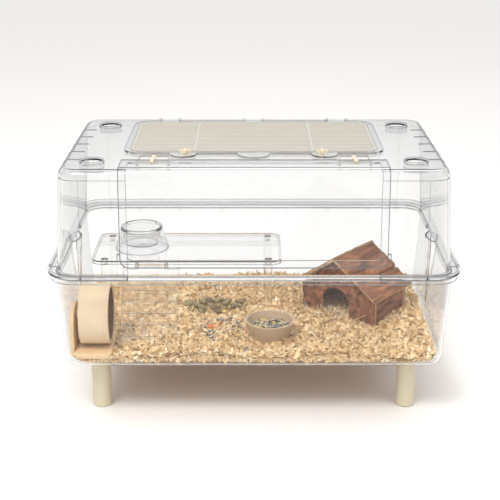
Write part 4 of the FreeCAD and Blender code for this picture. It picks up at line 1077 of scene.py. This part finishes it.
def buildRibs():
    points = []
    rimTop = rimHigh[2] - ribs["drop"]
    for x in ribs["places"]:
        for side in (-1, 1):
            y = side * (rimHigh[1] - ribs["inset"])
            for pair in (-1, 1):
                points.append((x + pair * ribs["gap"] / 2, y, rimTop - ribs["height"] / 2))
    mesh = bpy.data.meshes.new("rimRibs")
    mesh.from_pydata(points, [], [])
    piece = meshObject("rimRibs", mesh)
    tree, sockets = buildRibTree()
    applyTree(piece, tree, sockets, Width=ribs["width"], Depth=ribs["depth"], Height=ribs["height"],
              Finish=finishes["clear"])
    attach(piece, "tub")


# Painted shade: dark grey beads along the sharp edges of the clear plastic parts, where real clear plastic
# looks dark only because of how light bends and reflects there.
edgeShadeLines = {"radius": 0.00022, "bold": 0.00045, "boldBodies": ("door",),
             # where the cover's solids touch, as axis and place, and beside the door up to its step
             "meetings": ((2, 0.360), (1, 0.140), (1, -0.140), (0, 0.240), (0, -0.240)),
             "doorSide": 0.175, "doorTop": 0.2495, "near": 2e-5,
             "sharpest": 52,
             "nodes": {"front_door": "door", "door_snaps": "door", "top_cover": "cover",
                       "vent_frame": "vent_lid",
                       "base_tub": "tub", "platform": "tub", "water_bowl": "water_dish",
                       "post_front_left": "tub", "post_front_right": "tub", "post_back_left": "tub",
                       "post_back_right": "tub"}}


# Runs a fine round bead along every edge sharper than the angle given. With the dark edge finish, the beads
# are painted shade that stands in for the dark look light gives clear plastic's edges.
def buildEdgeShadeTree():
    tree, given, out, sockets = geometryTree("edgeShadeBeads", [
        ("Angle", "NodeSocketFloat", 0.9), ("Radius", "NodeSocketFloat", 0.0004),
        ("Finish", "NodeSocketMaterial", None)])
    nodes, links = tree.nodes, tree.links
    angle = nodes.new("GeometryNodeInputMeshEdgeAngle")
    sharp = nodes.new("FunctionNodeCompare")
    sharp.operation = "GREATER_THAN"
    links.new(angle.outputs["Unsigned Angle"], sharp.inputs[0])
    links.new(given.outputs["Angle"], sharp.inputs[1])
    curve = nodes.new("GeometryNodeMeshToCurve")
    links.new(given.outputs["Geometry"], curve.inputs["Mesh"])
    links.new(sharp.outputs["Result"], curve.inputs["Selection"])
    ring = nodes.new("GeometryNodeCurvePrimitiveCircle")
    ring.inputs["Resolution"].default_value = 6
    links.new(given.outputs["Radius"], ring.inputs["Radius"])
    tube = nodes.new("GeometryNodeCurveToMesh")
    tube.inputs["Fill Caps"].default_value = True
    links.new(curve.outputs["Curve"], tube.inputs["Curve"])
    links.new(ring.outputs["Curve"], tube.inputs["Profile Curve"])
    endTree(tree, tube.outputs["Mesh"], given, out)
    return tree, sockets


# Takes out the flat faces where the cover's solids touch, so no bead runs there.
def dropMeetings(piece):
    work = bmesh.new()
    work.from_mesh(piece.data)
    near = edgeShadeLines["near"]
    gone = [face for face in work.faces for axis, place in edgeShadeLines["meetings"]
            if all(abs(vertex.co[axis] - place) < near for vertex in face.verts)]
    gone += [face for face in work.faces
             if all(abs(abs(vertex.co.x) - edgeShadeLines["doorSide"]) < near
                    and vertex.co.z < edgeShadeLines["doorTop"] for vertex in face.verts)]
    bmesh.ops.delete(work, geom=list(set(gone)), context="FACES")
    bmesh.ops.dissolve_limit(work, angle_limit=math.radians(0.5), verts=work.verts, edges=work.edges)
    work.to_mesh(piece.data)
    work.free()


def buildEdgeShadeLines():
    tree, sockets = buildEdgeShadeTree()
    for node, body in edgeShadeLines["nodes"].items():
        piece = copyNode(node, node.replace("_", " ").title().replace(" ", "") + "Edges")
        if node == "top_cover":
            dropMeetings(piece)
        radius = edgeShadeLines["bold"] if body in edgeShadeLines["boldBodies"] else edgeShadeLines["radius"]
        applyTree(piece, tree, sockets, Angle=math.radians(edgeShadeLines["sharpest"]), Radius=radius,
                  Finish=finishes["edge"])
        for vertex in piece.data.vertices:
            for axis in range(3):
                vertex.co[axis] = max(cadBox[0][axis], min(cadBox[1][axis], vertex.co[axis]))
        piece.data.shade_smooth()
        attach(piece, body)
    print("edge beads ready")


# CAD node: name here, rounding of its edges, finish and body
wheelParts = {
    "wheel_foot": ("wheelFoot", 0.0018, "standWood", "tub"),
    "wheel_board": ("wheelBoard", 0.0014, "standWood", "tub"),
    "wheel_drum": ("wheelDrum", 0.0011, "wheelWood", "wheel"),
}


def buildWheel():
    for node, (name, rounding, finish, body) in wheelParts.items():
        softened(node, name, rounding, finishes[finish], body)
    print("wheel ready")


# materials for what keeps its CAD shape
def dressCadNodes():
    plan = {
        "clear": ["base_tub", "top_cover", "vent_frame", "vent_hinge_pins", "platform", "post_front_left",
                  "post_front_right", "post_back_left", "post_back_right", "ramp_pin", "water_bowl"],
        "ramp": ["ramp"],
        "door": ["front_door", "door_snaps"],
        "grille": ["vent_grille"],
        "cream": ["leg_front_left", "leg_front_right", "leg_back_left", "leg_back_right"],
        "trim": ["door_pin_left", "door_pin_right", "door_clip_left", "door_clip_right", "knob_left",
                 "knob_right"],
        "rubber": ["foot_pads"],
        "steel": ["axle_bolt", "axle_spacer", "axle_nut", "wheel_bearing"],
        "cork": ["wheel_liner"],
        "bark": ["hut_front", "hut_back", "hut_left_wall", "hut_right_wall", "hut_roof_left",
                 "hut_roof_upper", "hut_roof_lower"],
        "shavings": ["bedding"],
        "pellets": ["pellet_pile"],
        "seeds": ["bowl_seeds"],
        "bowl": ["food_bowl"],
        "wheelWood": ["wheel_drum"],
        "standWood": ["wheel_foot", "wheel_board"],
    }
    for finish, names in plan.items():
        for name in names:
            slots = cadNodes[name].material_slots
            if not slots:
                cadNodes[name].data.materials.append(finishes[finish])
            for slot in slots:
                slot.material = finishes[finish]
    print("CAD pieces dressed")


grainTree = buildGrainGroup()
mottleTree = buildMottleGroup()
scatterTree = buildScatterTree()
shavings = shavingMaterial()
finishes = {
    "clear": clearPlastic("clearPlastic"),
    # Painted shade: the dark grey finish of the beads along the clear plastic's edges.
    "edge": mouldedPlastic("paintedEdgeShade", (0.13, 0.135, 0.145), (0.20, 0.205, 0.215), 0.1, 0.2),
    "ramp": clearPlastic("rampPlastic", tint=(0.985, 0.988, 0.99), roughLow=0.08, roughHigh=0.14),
    "door": clearPlastic("doorPlastic", tint=(0.955, 0.965, 0.97)),
    "cream": mouldedPlastic("creamPlastic", (0.70, 0.63, 0.46), (0.66, 0.59, 0.42), 0.28, 0.4, glow=0.08),
    "trim": mouldedPlastic("trimPlastic", (0.74, 0.64, 0.48), (0.70, 0.60, 0.43), 0.28, 0.4, glow=0.05),
    "grille": mouldedPlastic("grillePlastic", (0.56, 0.53, 0.47), (0.52, 0.49, 0.43), 0.35, 0.5),
    "rubber": mouldedPlastic("padRubber", (0.55, 0.54, 0.52), (0.48, 0.47, 0.45), 0.6, 0.8),
    "bowl": mouldedPlastic("stoneware", (0.50, 0.35, 0.225), (0.58, 0.43, 0.285), 0.35, 0.5),
    "steel": steelMaterial(),
    "wheelWood": plainWood("wheelWood", (0.76, 0.60, 0.40), (0.60, 0.43, 0.26), 26.0, 0.6, turn=(0, 0, 90)),
    "standWood": plainWood("standWood", (0.78, 0.56, 0.32), (0.58, 0.36, 0.17), 30.0, 0.6),
    "cork": plainWood("corkLining", (0.30, 0.12, 0.045), (0.10, 0.035, 0.014), 160.0, 0.9, roughness=0.85),
    "bark": barkMaterial(),
    "shavings": shavings,
    "seeds": stripedSeedMaterial(),
    "treat": mouldedPlastic("carrotTreat", (0.82, 0.24, 0.05), (0.75, 0.19, 0.03), 0.5, 0.7),
    "pellets": seedMaterial("pelletMix", (0.14, 0.11, 0.055), (0.86, 0.62, 0.2), 160.0),
}
buildStudio()
dressCadNodes()
buildBedding()
buildHut()
buildHay()
buildFeed()
buildRibs()
buildEdgeShadeLines()
buildWheel()
